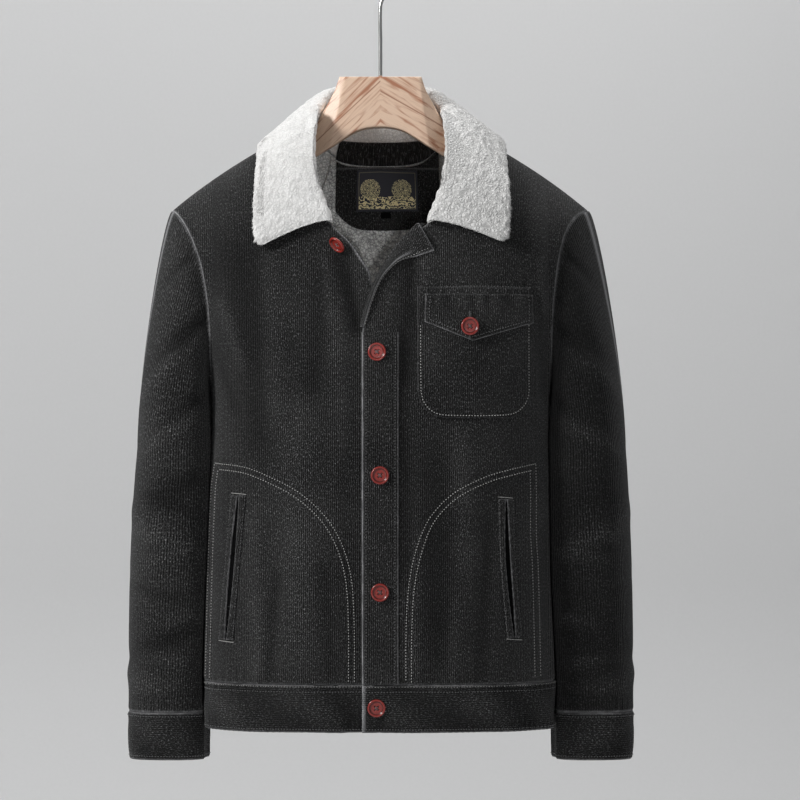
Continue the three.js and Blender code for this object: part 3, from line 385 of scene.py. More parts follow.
# What shows inside the neck
INSIDE_CENTRE_X = 8
STAND_BAND = dict(half=60, tall=23, thick=1.2, level=-214, foot=4.4)
FACING = dict(half=60, bottom=-311, thick=1)
LINING = dict(top_half=58, bottom_half=90, bottom=-425, thick=3)
LABEL = dict(left=-28, right=43, top=-241, bottom=-288.5, thick=0.8)

# Hanger: the middle, then the arms under the shoulders
HANGER = table("x top bottom deep", [
    (0, -143, -200, 14),
    (24, -143, -203.5, 14),
    (46, -143, -216, 13.5),
    (51, -158, -219.5, 13),
    (61.5, -177.5, -226, 12),
    (72, -196, -232.5, 11),
])
ARM = dict(start=84, end=206, clear=1.3, tall_at_neck=37, tall_at_end=22, deep=11, stations=7)
# The sawn facets at both ends of the middle: their edge at the top, its slant and their slope
FACET = {LEFT: dict(x=38.5, slant=0.23), RIGHT: dict(x=43, slant=0.15)}
FACET_SLOPE = 0.36

# Hook
WIRE_R = 2.2
HOOK_R = 22
SHANK_TOP_Z = -64
HANGER_TOP_Z = -143


# Small tools

def mix(a, b, t):
    return a + (b - a) * t


def clamp(v):
    return np.clip(v, 0.0, 1.0)


def smooth(v):
    v = clamp(v)
    return v * v * (3 - 2 * v)


def curve(rows, by, key):
    """A smooth curve through a table's rows: the column key as a function of the column by."""
    order = sorted(rows, key=lambda row: row[by])
    at = np.array([row[by] for row in order], float)
    value = np.array([row[key] for row in order], float)
    before = np.maximum(np.arange(len(at)) - 1, 0)
    after = np.minimum(np.arange(len(at)) + 1, len(at) - 1)
    slope = (value[after] - value[before]) / (at[after] - at[before])

    def read(t):
        t = np.asarray(t, float)
        i = np.clip(np.searchsorted(at, t, side="right") - 1, 0, len(at) - 2)
        span = at[i + 1] - at[i]
        s = clamp((t - at[i]) / span)
        blend = s * s * (3 - 2 * s)
        bow = s * (1 - s) ** 2 * slope[i] - s * s * (1 - s) * slope[i + 1]
        return mix(value[i], value[i + 1], blend) + span * bow

    return read


def hermite(a, goes_out, b, comes_in, t):
    """A point between a and b that leaves along goes_out and arrives along comes_in."""
    s = t * t * (3 - 2 * t)
    return a + (b - a) * s + goes_out * (t * (1 - t) ** 2) - comes_in * (t * t * (1 - t))


def stack(*parts):
    """Grids of numbers side by side, as points or as places on the cloth."""
    return np.stack(np.broadcast_arrays(*parts), axis=-1)


def grid_shares(rows, columns, top=0.0, end=1.0):
    """A column of values down a grid, and a row of shares from 0 to 1 across it."""
    return np.linspace(top, end, rows)[:, None], np.linspace(0, 1, columns)[None, :]


def run_along(points, axis=0):
    """How far along its points a path or grid has run, from 0."""
    steps = np.linalg.norm(np.diff(points, axis=axis), axis=-1)
    return np.concatenate([np.zeros_like(np.take(steps, [0], axis)), np.cumsum(steps, axis)], axis)


def unit(v):
    return v / np.maximum(np.linalg.norm(v, axis=-1, keepdims=True), 1e-9)


def grid_normals(grid, outward, wraps=False):
    """Normals of a grid of points, all on the side that outward roughly points to."""
    across = np.roll(grid, -1, 1) - np.roll(grid, 1, 1) if wraps else np.gradient(grid, axis=1)
    normals = unit(np.cross(np.gradient(grid, axis=0), across))
    return normals if (normals * outward).sum() > 0 else -normals


# The torso's form

TORSO_OF = {key: curve(TORSO, "z", key) for key in ("left", "right", "front", "back")}
ARMHOLE_OF = {key: curve(ARMHOLE, "at", key) for key in ("left", "right", "z")}
FRONT_EDGE = {LEFT: curve(LEFT_EDGE, "z", "x"), RIGHT: curve(RIGHT_EDGE, "z", "x")}
BACK_NECK_Z = curve(BACK_NECK, "x", "z")


def half_width(side, z):
    return np.where(np.asarray(side) == LEFT, TORSO_OF["left"](z), TORSO_OF["right"](z))


def full_depth(face, z):
    return np.where(np.asarray(face) == FRONT, TORSO_OF["front"](z), TORSO_OF["back"](z))


def crest(x):
    out = np.abs(x) - NECK_X
    drop = np.where(out > 0, SHOULDER_DROP * (np.maximum(out, 0) / (TIP_X - NECK_X)) ** 3, 0)
    return NECK_Z - SHOULDER_SLOPE * out - drop


def depth(side, face, x, z, lift=0.0):
    """How far the torso's surface stands in front of or behind the hanger's plane."""
    across = np.minimum(np.abs(x) / (half_width(side, z) + lift), 1)
    round_off = (1 - across ** SIDE_FULLNESS) ** (1 / SIDE_FULLNESS)
    below = clamp((crest(x) + lift - z) / SHOULDER_ROLL)
    return (full_depth(face, z) + lift) * round_off * np.sqrt(1 - (1 - below) ** 2)


def fold_sum(folds, x, z):
    total = np.zeros(np.broadcast(x, z).shape)
    for f in folds:
        t = (z - f["z0"]) / (f["z1"] - f["z0"])
        away = (x - mix(f["x0"], f["x1"], clamp(t))) / f["wide"]
        total = total + f["high"] * np.exp(-away * away) * smooth(t * 4 + 0.6) * smooth((1 - t) * 4 + 0.6)
    return total


# Sewing. Each row runs through (x, z) points on a front; rows lie beside the first by the
# offsets, to its right as it runs. Pucker is the height of the small gathers beside it.
LEFT_ARC = [(-183.7, -576.6), (-149, -580.8), (-120.4, -591.6), (-92.8, -605.5), (-67.5, -626.2),
            (-49.6, -649.3), (-37.1, -678.8), (-30.7, -710.3), (-28.4, -760.8), (-28.4, -817)]
LEFT_DOWN = [(-184, -577), (-187.6, -600), (-189.8, -640), (-192, -700), (-193.6, -760), (-195, -816)]
RIGHT_ARC = [(172.3, -577), (147.7, -582.2), (118.1, -590.4), (88.4, -604.2), (67.3, -620.9),
             (50.5, -643), (38.9, -674.6), (31.6, -712.4), (28.8, -756.5), (28.4, -817)]
RIGHT_DOWN = [(172.3, -577), (172.9, -614), (172.9, -656), (174.9, -688), (176.4, -740), (178, -814)]


def pocket_outline(inset):
    """The chest pocket's stitching, down one side, round the bottom and up the other."""
    left, right = POCKET["left"] + inset, POCKET["right"] - inset
    bottom, corner = POCKET["bottom"] + inset, POCKET["corner"] - inset
    turns = [math.radians(a) for a in (0, 30, 60, 90)]
    down = [(left, z) for z in (-424, -460, bottom + corner + 8)]
    round_left = [(left + corner - corner * math.cos(a), bottom + corner - corner * math.sin(a))
                  for a in turns]
    round_right = [(right + left - x, z) for x, z in reversed(round_left)]
    up = [(right + left - x, z) for x, z in reversed(down)]
    return down + round_left + round_right + up


def flap_bottom(x):
    left = mix(FLAP["side"], FLAP["point"], (x - FLAP["left"]) / (FLAP["point_x"] - FLAP["left"]))
    right = mix(FLAP["side"], FLAP["point"], (FLAP["right"] - x) / (FLAP["right"] - FLAP["point_x"]))
    return np.where(x < FLAP["point_x"], left, right)


def flap_outline(inset):
    left, right = FLAP["left"] + inset, FLAP["right"] - inset
    return [(left, FLAP["top"] - 2), (left, FLAP["side"] + inset * 0.6),
            (FLAP["point_x"], FLAP["point"] + inset),
            (right, FLAP["side"] + inset * 0.6), (right, FLAP["top"] - 2)]


def pocket_slit(side):
    """A side pocket's slit, as x at any height, and the heights of its ends."""
    heights = [row["z"] for row in SIDE_POCKETS[side]]
    return curve(SIDE_POCKETS[side], "z", "x"), max(heights), min(heights)


def lip_outline(side, way):
    """The stitching along the outer edge of one side pocket's lip."""
    slit, top, end = pocket_slit(side)
    heights = np.linspace(top, end, 9)
    return [(float(slit(z)) + way * (LIP["slit"] + LIP["wide"] - 0.4), float(z)) for z in heights]


SEWN = [
    dict(name="arc_left", side=LEFT, points=LEFT_ARC, offsets=(0, 6.4), bright=True, pucker=0.35, lift=0),
    dict(name="down_left", side=LEFT, points=LEFT_DOWN, offsets=(0, -5.2), bright=True, pucker=0.25, lift=0),
    dict(name="arc_right", side=RIGHT, points=RIGHT_ARC, offsets=(0, -6.4), bright=True, pucker=0.35, lift=0),
    dict(name="down_right", side=RIGHT, points=RIGHT_DOWN, offsets=(0, 6.6), bright=True,
         pucker=0.25, lift=0),
    dict(name="pocket", side=RIGHT, points=pocket_outline(3.6), offsets=(0,), bright=True, pucker=0.5,
         lift=POCKET_LIFT + POCKET["thick"]),
    dict(name="pocket_top", side=RIGHT, points=[(50, -382.8), (110, -381), (166, -382.6)], offsets=(0,),
         bright=False, pucker=0.7, lift=0),
    dict(name="placket_edge", side=RIGHT, points=[(-15.2, z) for z in (-440, -560, -690, -816)], offsets=(0,),
         bright=False, pucker=0.35, lift=SEAM + PLACKET["thick"]),
    dict(name="placket_seam", side=RIGHT, points=[(16.4, z) for z in (-436, -560, -690, -816)], offsets=(0,),
         bright=False, pucker=0.45, lift=SEAM + PLACKET["thick"]),
    *(dict(name="lip", side=side, points=lip_outline(side, way), offsets=(0,), bright=False, pucker=0.9,
           lift=SEAM + 0.8) for side in (LEFT, RIGHT) for way in (-1, 1)),
]
STITCH_PITCH = 3.3
STITCH_LENGTH = 1.6
THREAD_R = 0.6
PUCKER_PERIOD = 8.5


def smooth_path(points, offset=0.0, step=2.0):
    """A smooth (x, z) path through the points, moved to its right by offset."""
    rows = np.array(points, float)
    at = run_along(rows)
    table = [dict(at=a, x=x, z=z) for a, (x, z) in zip(at, rows)]
    t = np.linspace(0, at[-1], max(int(at[-1] / step), 4))
    path = np.stack([curve(table, "at", "x")(t), curve(table, "at", "z")(t)], axis=1)
    run = unit(np.gradient(path, axis=0))
    return path + offset * np.stack([run[:, 1], -run[:, 0]], axis=1)


def straight_path(points, step=1.0):
    rows = np.array(points, float)
    at = run_along(rows)
    t = np.linspace(0, at[-1], max(int(at[-1] / step), 4))
    return np.stack([np.interp(t, at, rows[:, 0]), np.interp(t, at, rows[:, 1])], axis=1)


SEWN_PATHS = [(row, smooth_path(row["points"], step=5.0)) for row in SEWN]


def sewn_relief(side, x, z):
    """The grooves and small gathers that the rows of stitching pull into a front."""
    x, z = np.broadcast_arrays(np.asarray(x, float), np.asarray(z, float))
    flat = np.stack([x.ravel(), z.ravel()], axis=1)
    total = np.zeros(len(flat))
    reach = 9.0
    for row, path in SEWN_PATHS:
        if row["side"] != side:
            continue
        near = np.all((flat > path.min(0) - 2 * reach) & (flat < path.max(0) + 2 * reach), axis=1)
        if not near.any():
            continue
        here = flat[near]
        best = np.full(len(here), 1e9)
        along = np.zeros(len(here))
        done = 0.0
        for a, b in zip(path[:-1], path[1:]):
            run = b - a
            length = float(np.linalg.norm(run))
            t = clamp(((here - a) @ run) / length ** 2)
            gap = np.linalg.norm(here - a - t[:, None] * run, axis=1)
            closer = gap < best
            best = np.where(closer, gap, best)
            along = np.where(closer, done + t * length, along)
            done += length
        uneven = 0.65 + 0.35 * np.sin(along / 31 + len(row["name"]))
        wave = np.sin(2 * np.pi * along / PUCKER_PERIOD + 1.4 * np.sin(along / 23))
        gather = row["pucker"] * uneven * wave * np.exp(-((best / reach) ** 2))
        total[near] += gather - 0.45 * np.exp(-((best / 2.0) ** 2))
    return total.reshape(x.shape)


HEM_PULL = dict(period=9.0, high=0.7, reach=16)


def hem_pull(x, z):
    """Small gathers where the fronts and back are sewn to the waistband."""
    up = (z - HEM_SEAM_Z) / HEM_PULL["reach"]
    wave = np.sin(2 * np.pi * x / HEM_PULL["period"] + 1.7 * np.sin(x / 27))
    return HEM_PULL["high"] * wave * (0.6 + 0.4 * np.sin(x / 41)) * np.exp(-up * up)


def creased(side, face, x, z):
    """The folds and creases of a front or back."""
    total = fold_sum([f for f in CREASES if f["face"] == face], x, z)
    for f in FOLDS:
        if f["face"] == face:
            total = total + np.where(np.asarray(side) == f["side"], fold_sum([f], x, z), 0)
    return total


def painted_relief_shade(relief):
    """Painted light from relief: from -1, a painted highlight on a ridge, to 1, painted shade in a trough."""
    return np.clip(-relief / 3.2, -1, 1)


def surface_y(side, face, x, z):
    """A point of a front or back, with the underlap and rolled edge of the left front."""
    deep = depth(side, face, x, z)
    flat = smooth(deep / 30)
    relief = creased(side, face, x, z) + hem_pull(x, z)
    if face == FRONT:
        relief = relief + sewn_relief(side, x, z)
    y = face * np.maximum(deep + relief * flat, SEAM / 2)
    if face == FRONT and side == LEFT:
        y = y + UNDERLAP["inset"] * smooth((x - UNDERLAP["start"]) / UNDERLAP["over"])
        tall = np.exp(-(((z - EDGE_ROLL["z"]) / EDGE_ROLL["tall"]) ** 2))
        near = clamp(1 - (FRONT_EDGE[LEFT](z) - x) / EDGE_ROLL["wide"])
        y = y - EDGE_ROLL["forward"] * near * near * tall * smooth((-x + 4) / 16)
    return y


def on_panel(side, face, x, z, lift):
    """A point on a front or back, moved out from the cloth by lift."""
    x, z, lift = (np.asarray(v, float) for v in np.broadcast_arrays(x, z, lift))
    y = surface_y(side, face, x, z)
    dx = (surface_y(side, face, x + 1, z) - surface_y(side, face, x - 1, z)) / 2
    dz = (surface_y(side, face, x, z + 1) - surface_y(side, face, x, z - 1)) / 2
    return stack(x, y, z) + unit(stack(-dx * face, face, -dz * face)) * lift[..., None]


# The cloth's grain: how far round the body a ridge lies, the same all the way down
GRAIN_X = np.linspace(0, 300, 601)
GRAIN_ROUND = np.concatenate([[0], np.cumsum(np.hypot(
    np.diff(GRAIN_X), np.diff(depth(RIGHT, FRONT, np.minimum(GRAIN_X, 186), -650.0))))])


def grain_across(x):
    return np.sign(x) * np.interp(np.abs(x), GRAIN_X, GRAIN_ROUND)


# Colours

def linear(hex_colour):
    """An sRGB hex colour as linear red, green, blue and alpha."""
    parts = [int(hex_colour[i:i + 2], 16) / 255 for i in (1, 3, 5)]
    return tuple(p / 12.92 if p <= 0.04045 else ((p + 0.055) / 1.055) ** 2.4 for p in parts) + (1.0,)


class JacketSizes(bpy.types.PropertyGroup):
    """Sizes that a user would change"""

    wale_pitch: bpy.props.FloatProperty(
        name="Ridge pitch", description="Distance between the corduroy's ridges, in millimetres",
        default=2.3, min=1.0, max=6.0)
    curl_size: bpy.props.FloatProperty(
        name="Curl size", description="Width of the sherpa's curls, in millimetres",
        default=5.2, min=2.0, max=12.0)
    pile_length: bpy.props.FloatProperty(
        name="Pile length", description="How far stray fibres stand off the sherpa, in millimetres",
        default=3.2, min=0.0, max=8.0)
    grain_width: bpy.props.FloatProperty(
        name="Wood grain", description="Distance between the hanger's growth rings, in millimetres",
        default=7.0, min=1.0, max=20.0)


class JacketColours(bpy.types.PropertyGroup):
    """Colours that a user would change, as sRGB hex values"""

    cord_ridge: bpy.props.StringProperty(name="Ridge", description="Top of the corduroy's pile",
                                         default="#3b3b3a")
    cord_valley: bpy.props.StringProperty(name="Valley", description="Between the ridges", default="#080808")
    # Worn corduroy's pale, also used for painted highlight along edges and seams
    cord_worn_and_highlit: bpy.props.StringProperty(name="Worn edge", description="Rubbed corduroy", default="#b2b2b4")
    sherpa: bpy.props.StringProperty(name="Sherpa", description="Collar fleece", default="#e9e8e6")
    lining: bpy.props.StringProperty(name="Lining", description="Fleece inside", default="#f6f6f4")
    thread: bpy.props.StringProperty(name="Thread", description="Bright stitching", default="#d9d8d4")
    dull_thread: bpy.props.StringProperty(name="Dark thread", description="Toned stitching",
                                          default="#3a3a3c")
    button: bpy.props.StringProperty(name="Button", description="Polyester buttons", default="#9c2c22")
    wood: bpy.props.StringProperty(name="Wood", description="Hanger", default="#f0d0b6")
    label: bpy.props.StringProperty(name="Label", description="Woven ground", default="#191926")
    gold: bpy.props.StringProperty(name="Gold", description="Label's figured thread", default="#fff0b8")
    backdrop: bpy.props.StringProperty(name="Backdrop", description="Floor and wall", default="#cfcfcf")


def sizes():
    return bpy.context.scene.jacket_sizes


def colours():
    return bpy.context.scene.jacket_colours


# Materials

class Nodes:
    """A material's nodes: each method adds one and gives its result, to feed to the next.
    What feeds a node is a number, a vector or another node's result."""

    def __init__(self, tree):
        self.tree = tree

    def add(self, kind, inputs=None, out=0, **settings):
        node = self.tree.nodes.new(f"ShaderNode{kind}")
        for key, value in settings.items():
            setattr(node, key, value)
        for key, value in (inputs or {}).items():
            if isinstance(value, bpy.types.NodeSocket):
                self.tree.links.new(value, node.inputs[key])
            else:
                node.inputs[key].default_value = value
        return node.outputs[out] if len(node.outputs) else node

    def calc(self, operation, *values, **settings):
        return self.add("Math", dict(enumerate(values)), operation=operation, **settings)

    def noise(self, vector, scale, out="Fac", **inputs):
        return self.add("TexNoise", {"Vector": vector, "Scale": scale, **inputs}, out)

    def ranged(self, value, low, high, to_low=0.0, to_high=1.0, **settings):
        """The range from low to high, stretched onto another."""
        return self.add("MapRange", {"Value": value, "From Min": low, "From Max": high, "To Min": to_low,
                                     "To Max": to_high}, **settings)

    def blend(self, share, first, second):
        """Two colours, each a hex value or another node's colour."""
        first, second = (linear(c) if isinstance(c, str) else c for c in (first, second))
        return self.add("Mix", {0: share, "A": first, "B": second}, 2, data_type="RGBA")

    def point(self, name):
        """A value that the mesh keeps at each point."""
        return self.add("Attribute", out="Fac", attribute_name=name)

    def place(self):
        return self.add("TexCoord", out="Object")

    def grain(self):
        return self.add("UVMap", uv_map="grain")

    def part(self, vector, axis):
        return self.add("SeparateXYZ", {0: vector}, axis)

    def stretch(self, vector, *scale):
        return self.add("Mapping", {"Vector": vector, "Scale": scale})

    def bump(self, height, distance, strength=1.0):
        return self.add("Bump", {"Height": height, "Distance": distance, "Strength": strength})


def material(name, build, **shader):
    """The material of this name. build gives its colour, and its bump if it has one; shader
    gives the sockets' constant values."""
    if name not in bpy.data.materials:
        made = bpy.data.materials.new(name)
        made.use_nodes = True
        made.node_tree.nodes.clear()
        nodes = Nodes(made.node_tree)
        colour, bump = build(nodes)
        shader = {key.replace("_", " "): value for key, value in shader.items()}
        shader = {**shader, "Normal": bump} if bump else shader
        surface = nodes.add("BsdfPrincipled", {"Base Color": colour, **shader})
        nodes.add("OutputMaterial", {"Surface": surface}).location = (300, 0)
    return bpy.data.materials[name]


def needlecord():
    """Cotton needlecord, woven and cut: near-black valleys between brushed ridges, their own tone with painted shade,
    and pale lint.
    """
    def build(n):
        c = colours()
        grain = n.grain()
        sway = n.calc("MULTIPLY", n.noise(grain, 0.045, Detail=2.0), 2.4)
        across = n.calc("ADD", n.part(grain, "X"), sway)
        # Real needlecord has a ridge each 1.4 mm; 2.3 mm is what the photo resolves
        wave = n.calc("SINE", n.calc("MULTIPLY", across, math.pi / sizes().wale_pitch))
        ridge = n.calc("ABSOLUTE", wave)
        # Lint and broken pile, drawn out along the ridges
        pile = n.noise(n.stretch(grain, 0.85, 0.4, 1.0), 1.0, Detail=3.0, Roughness=0.85)
        broken = n.ranged(pile, 0.36, 0.62, 0.3)
        clouded = n.ranged(n.noise(grain, 0.013, Detail=4.0), 0.3, 0.7, 0.38, 1.15)
        # Painted shade in troughs and painted highlight on ridges, from each point's hollow value
        painted_relief_light = n.ranged(n.point("hollow"), -1.0, 1.0, 1.45, 0.4)
        laid = n.calc("MULTIPLY", n.calc("MULTIPLY", clouded, broken), painted_relief_light)
        # The valleys' near black is partly the ground weave's tone and partly painted shade between the ridges
        base = n.blend(n.calc("MULTIPLY", ridge, laid), c.cord_valley, c.cord_ridge)
        lint = n.calc("MULTIPLY", n.calc("MULTIPLY", n.ranged(pile, 0.55, 0.72), 0.68), painted_relief_light)
        # Worn pale edges and seams, with a painted highlight, from each point's value
        rubbed_and_highlit = n.calc("MULTIPLY", n.point("wear_and_highlight"), 0.8)
        pale = n.calc("ADD", lint, rubbed_and_highlit, use_clamp=True)
        return n.blend(pale, base, c.cord_worn_and_highlit), n.bump(n.calc("MULTIPLY_ADD", pile, 0.9, ridge), 0.001)
    return material("charcoal_needlecord", build, Roughness=0.9, Sheen_Weight=0.1, Sheen_Roughness=0.35,
                    Specular_IOR_Level=0.2)


def fleece(name, colour, shade, cracks, sinks):
    """Polyester sherpa, knitted and tumbled into curls: soft, matt, shaded between the curls."""
    def build(n):
        place = n.place()
        # Fibres inside each curl, 0.8 mm across, and curls of about 3.6 mm with thin cracks between
        fibre = n.noise(place, 1250.0, Detail=2.0, Distortion=1.2)
        bent = n.add("VectorMath", {0: n.noise(place, 260.0, "Color"), 1: (0.003, 0.003, 0.003), 2: place},
                     operation="MULTIPLY_ADD")
        curls = n.add("TexVoronoi", {"Vector": bent, "Scale": 275.0}, "Distance", feature="DISTANCE_TO_EDGE")
        dome = n.ranged(curls, 0.0, 0.4, interpolation_type="SMOOTHSTEP")
        # Painted shade in the cracks between curls and in the mesh's hollows
        between = n.ranged(curls, 0.02, 0.16, cracks, 0.0)
        sunk = n.ranged(n.point("hollow"), 0.35, 1.0, 0.0, sinks)
        # Where the pile is combed smooth, its curls show less
        curled = n.ranged(n.point("combed"), 0.0, 1.0, 0.8, 0.5)
        deep = n.calc("ADD", n.calc("MULTIPLY", between, curled), sunk, use_clamp=True)
        return n.blend(deep, colour, shade), n.bump(n.calc("MULTIPLY_ADD", fibre, 0.35, dome), 0.0011, curled)
    return material(name, build, Roughness=0.95, Sheen_Weight=0.3, Sheen_Roughness=0.5,
                    Specular_IOR_Level=0.15)


def sherpa():
    return fleece("bleached_sherpa_fleece", colours().sherpa, "#a9a8a6", 0.6, 0.25)


def lining_fleece():
    return fleece("grey_sherpa_lining", colours().lining, "#8a8a8a", 0.8, 0.5)


def thread(bright):
    """Polyester sewing thread, two strands twisted: a slight gloss along each stitch."""
    def build(n):
        colour = colours().thread if bright else colours().dull_thread
        return n.blend(n.noise(n.place(), 900.0), colour, "#6f6f6f"), None
    return material("grey_polyester_thread" if bright else "dark_polyester_thread", build, Roughness=0.55,
                    Sheen_Weight=0.2)


def polyester_button():
    """Cast polyester, turned and polished: a clear glossy coat over a slightly streaked red-brown."""
    def build(n):
        streak = n.noise(n.place(), 160.0, Detail=3.0, Distortion=1.5)
        # Near-black painted shade in the holes and the rim's groove
        return n.blend(n.point("hollow"), n.blend(streak, colours().button, "#751d16"), "#1c0806"), None
    return material("brick_polyester_button", build, Roughness=0.3, Coat_Weight=0.3,
                    Coat_Roughness=0.08, IOR=1.55)


def lacquered_ash():
    """Ash, sawn and glued in a book match, under satin lacquer: warm rings that rise to the middle."""
    def build(n):
        place = n.place()
        x = n.part(place, "X")
        fall = n.calc("MAXIMUM", n.calc("MULTIPLY", x, -0.93), n.calc("MULTIPLY", x, 0.56))
        rise = n.calc("ADD", fall, n.part(place, "Z"))
        # The dark line lies 149 mm under the hook's crown on the left half, 160 mm on the right
        level = n.calc("MULTIPLY_ADD", n.calc("GREATER_THAN", x, 0.0), 0.0112, 0.1488)
        dark_line = n.ranged(n.calc("ABSOLUTE", n.calc("ADD", rise, level)), 0.0003, 0.0013, 0.75, 0.0)
        slope = n.add("CombineXYZ", {"X": rise, "Y": n.part(place, "Y"), "Z": n.calc("ABSOLUTE", x)})
        rings = n.noise(n.stretch(slope, 1.0, 0.5, 0.16), 1000.0 / sizes().grain_width,
                        Detail=3.0, Distortion=0.5)
        pore = n.noise(n.stretch(slope, 1.0, 0.6, 0.05), 1400.0, Detail=2.0)
        base = n.blend(n.ranged(rings, 0.5, 0.64), colours().wood, "#ba8063")
        flecked = n.blend(n.ranged(pore, 0.5, 0.75, 0.0, 0.28), base, "#a87c5b")
        return n.blend(dark_line, flecked, "#9a5a3c"), n.bump(pore, 0.0001, 0.3)
    return material("pale_lacquered_ash", build, Roughness=0.42, Coat_Weight=0.25,
                    Coat_Roughness=0.25, IOR=1.5)


def drawn_wire():
    """Mild steel, drawn and nickel plated: bright, with faint lines along the wire."""
    def build(n):
        return n.blend(n.noise(n.stretch(n.place(), 1.0, 1.0, 0.05), 2500.0), "#d8d8d6", "#b8b8b6"), None
    return material("bright_drawn_wire", build, Metallic=1.0, Roughness=0.22)


def woven_label():
    """Damask label, woven on a navy ground: a plain frame, mottled discs and bands in gold thread."""
    def build(n):
        grain = n.grain()
        along, up = n.part(grain, "X"), n.part(grain, "Y")
        gaps = []
        for at, size in ((along, LABEL["right"] - LABEL["left"]), (up, LABEL["top"] - LABEL["bottom"])):
            off = n.calc("ABSOLUTE", n.calc("SUBTRACT", at, size / 2))
            gaps.append(n.calc("SUBTRACT", size / 2, off))
        inside = n.calc("MINIMUM", *gaps)
        # Two mottled discs over wavy bands, as thin contours of a soft noise, in a thin frame
        mottle = n.noise(grain, 0.22, Detail=3.0)
        contour = n.calc("LESS_THAN", n.calc("PINGPONG", mottle, 0.05), 0.02)
        discs = [n.calc("LESS_THAN", n.add("VectorMath", {0: grain, 1: (x, 25.0, 0.0)}, "Value",
                                           operation="DISTANCE"), 11.5) for x in (16.0, 52.0)]
        wave = n.calc("MULTIPLY_ADD", mottle, 16.0, up)
        banded = n.calc("LESS_THAN", n.calc("PINGPONG", wave, 2.2), 0.9)
        lower = n.calc("LESS_THAN", up, (LABEL["top"] - LABEL["bottom"]) * 0.36)
        motif = n.calc("MAXIMUM", n.calc("MULTIPLY", banded, lower),
                       n.calc("MULTIPLY", contour, n.calc("MAXIMUM", *discs)))
        kept = n.calc("MULTIPLY", motif, n.calc("GREATER_THAN", inside, 3.0))
        gold = n.calc("MAXIMUM", kept, n.calc("MULTIPLY", n.calc("COMPARE", inside, 3.0, 0.45), 0.15))
        weave = n.noise(grain, 1.6, Detail=2.0)
        shown = n.calc("MULTIPLY", gold, n.ranged(weave, 0.35, 0.6, 0.5))
        return n.blend(shown, colours().label, colours().gold), n.bump(weave, 0.0002, 0.6)
    return material("navy_woven_label", build, Roughness=0.6, Sheen_Weight=0.2)


def painted_shade_cloth():
    """A near-black sheet, plain woven in look, that paints the shade inside a pocket's mouth."""
    def build(n):
        return n.blend(n.noise(n.place(), 700.0), "#060606", "#0e0e0f"), None
    return material("black_painted_shade_cloth", build, Roughness=1.0, Specular_IOR_Level=0.05)


def backdrop_paper():
    """Matt paper, with a fine tooth."""
    def build(n):
        return n.blend(n.noise(n.place(), 220.0), colours().backdrop, "#cbcbcb"), None
    return material("matt_backdrop_paper", build, Roughness=0.95, Specular_IOR_Level=0.1)


# Making meshes

def add_mesh(name, points, faces, materials, grain=None, face_materials=None, values=None, turn_at=0.0):
    """Adds a smooth mesh from points in millimetres. grain holds each point's place on the
    cloth, in millimetres, and turn_at is where it starts again on a tube."""
    mesh = bpy.data.meshes.new(name)
    mesh.from_pydata((np.asarray(points) * MM).tolist(), [], faces)
    for material in materials:
        mesh.materials.append(material)
    mesh.polygons.foreach_set("use_smooth", [True] * len(mesh.polygons))
    if face_materials is not None:
        mesh.polygons.foreach_set("material_index", face_materials)
    for key, value in (values or {}).items():
        layer = mesh.attributes.new(key, "FLOAT", "POINT")
        layer.data.foreach_set("value", np.asarray(value, float).ravel())
    if grain is not None:
        corner = np.empty(len(mesh.loops), int)
        mesh.loops.foreach_get("vertex_index", corner)
        place = np.asarray(grain, float).reshape(-1, 2)[corner]
        if turn_at:
            for polygon in mesh.polygons:
                loops = slice(polygon.loop_start, polygon.loop_start + polygon.loop_total)
                u = place[loops, 0]
                if u.max() - u.min() > turn_at / 2:
                    place[loops, 0] = np.where(u < turn_at / 2, u + turn_at, u)
        mesh.uv_layers.new(name="grain").data.foreach_set("uv", place.ravel())
    mesh.validate()
    if len(faces) > 30:
        face_outward(mesh)
    obj = bpy.data.objects.new(name, mesh)
    bpy.context.scene.collection.objects.link(obj)
    return obj


def face_outward(mesh):
    """Turns a closed mesh's faces outward, if they look inward."""
    body = bmesh.new()
    body.from_mesh(mesh)
    if body.calc_volume(signed=True) < 0:
        mesh.flip_normals()
    body.free()


def grid_faces(index, wraps=False, flip=False):
    """Four-sided faces of a grid of point numbers."""
    if wraps:
        index = np.concatenate([index, index[:, :1]], axis=1)
    a, b, c, d = index[:-1, :-1], index[:-1, 1:], index[1:, 1:], index[1:, :-1]
    quads = np.stack([a, d, c, b] if flip else [a, b, c, d], axis=-1).reshape(-1, 4)
    return quads.tolist()


def edge_distance(grid, wraps):
    """How far each point of a grid lies from the grid's nearest edge, along the cloth."""
    rows = run_along(grid)
    gap = np.minimum(rows, rows[-1] - rows)
    if not wraps:
        columns = run_along(grid, 1)
        gap = np.minimum(gap, np.minimum(columns, columns[:, -1:] - columns))
    return gap


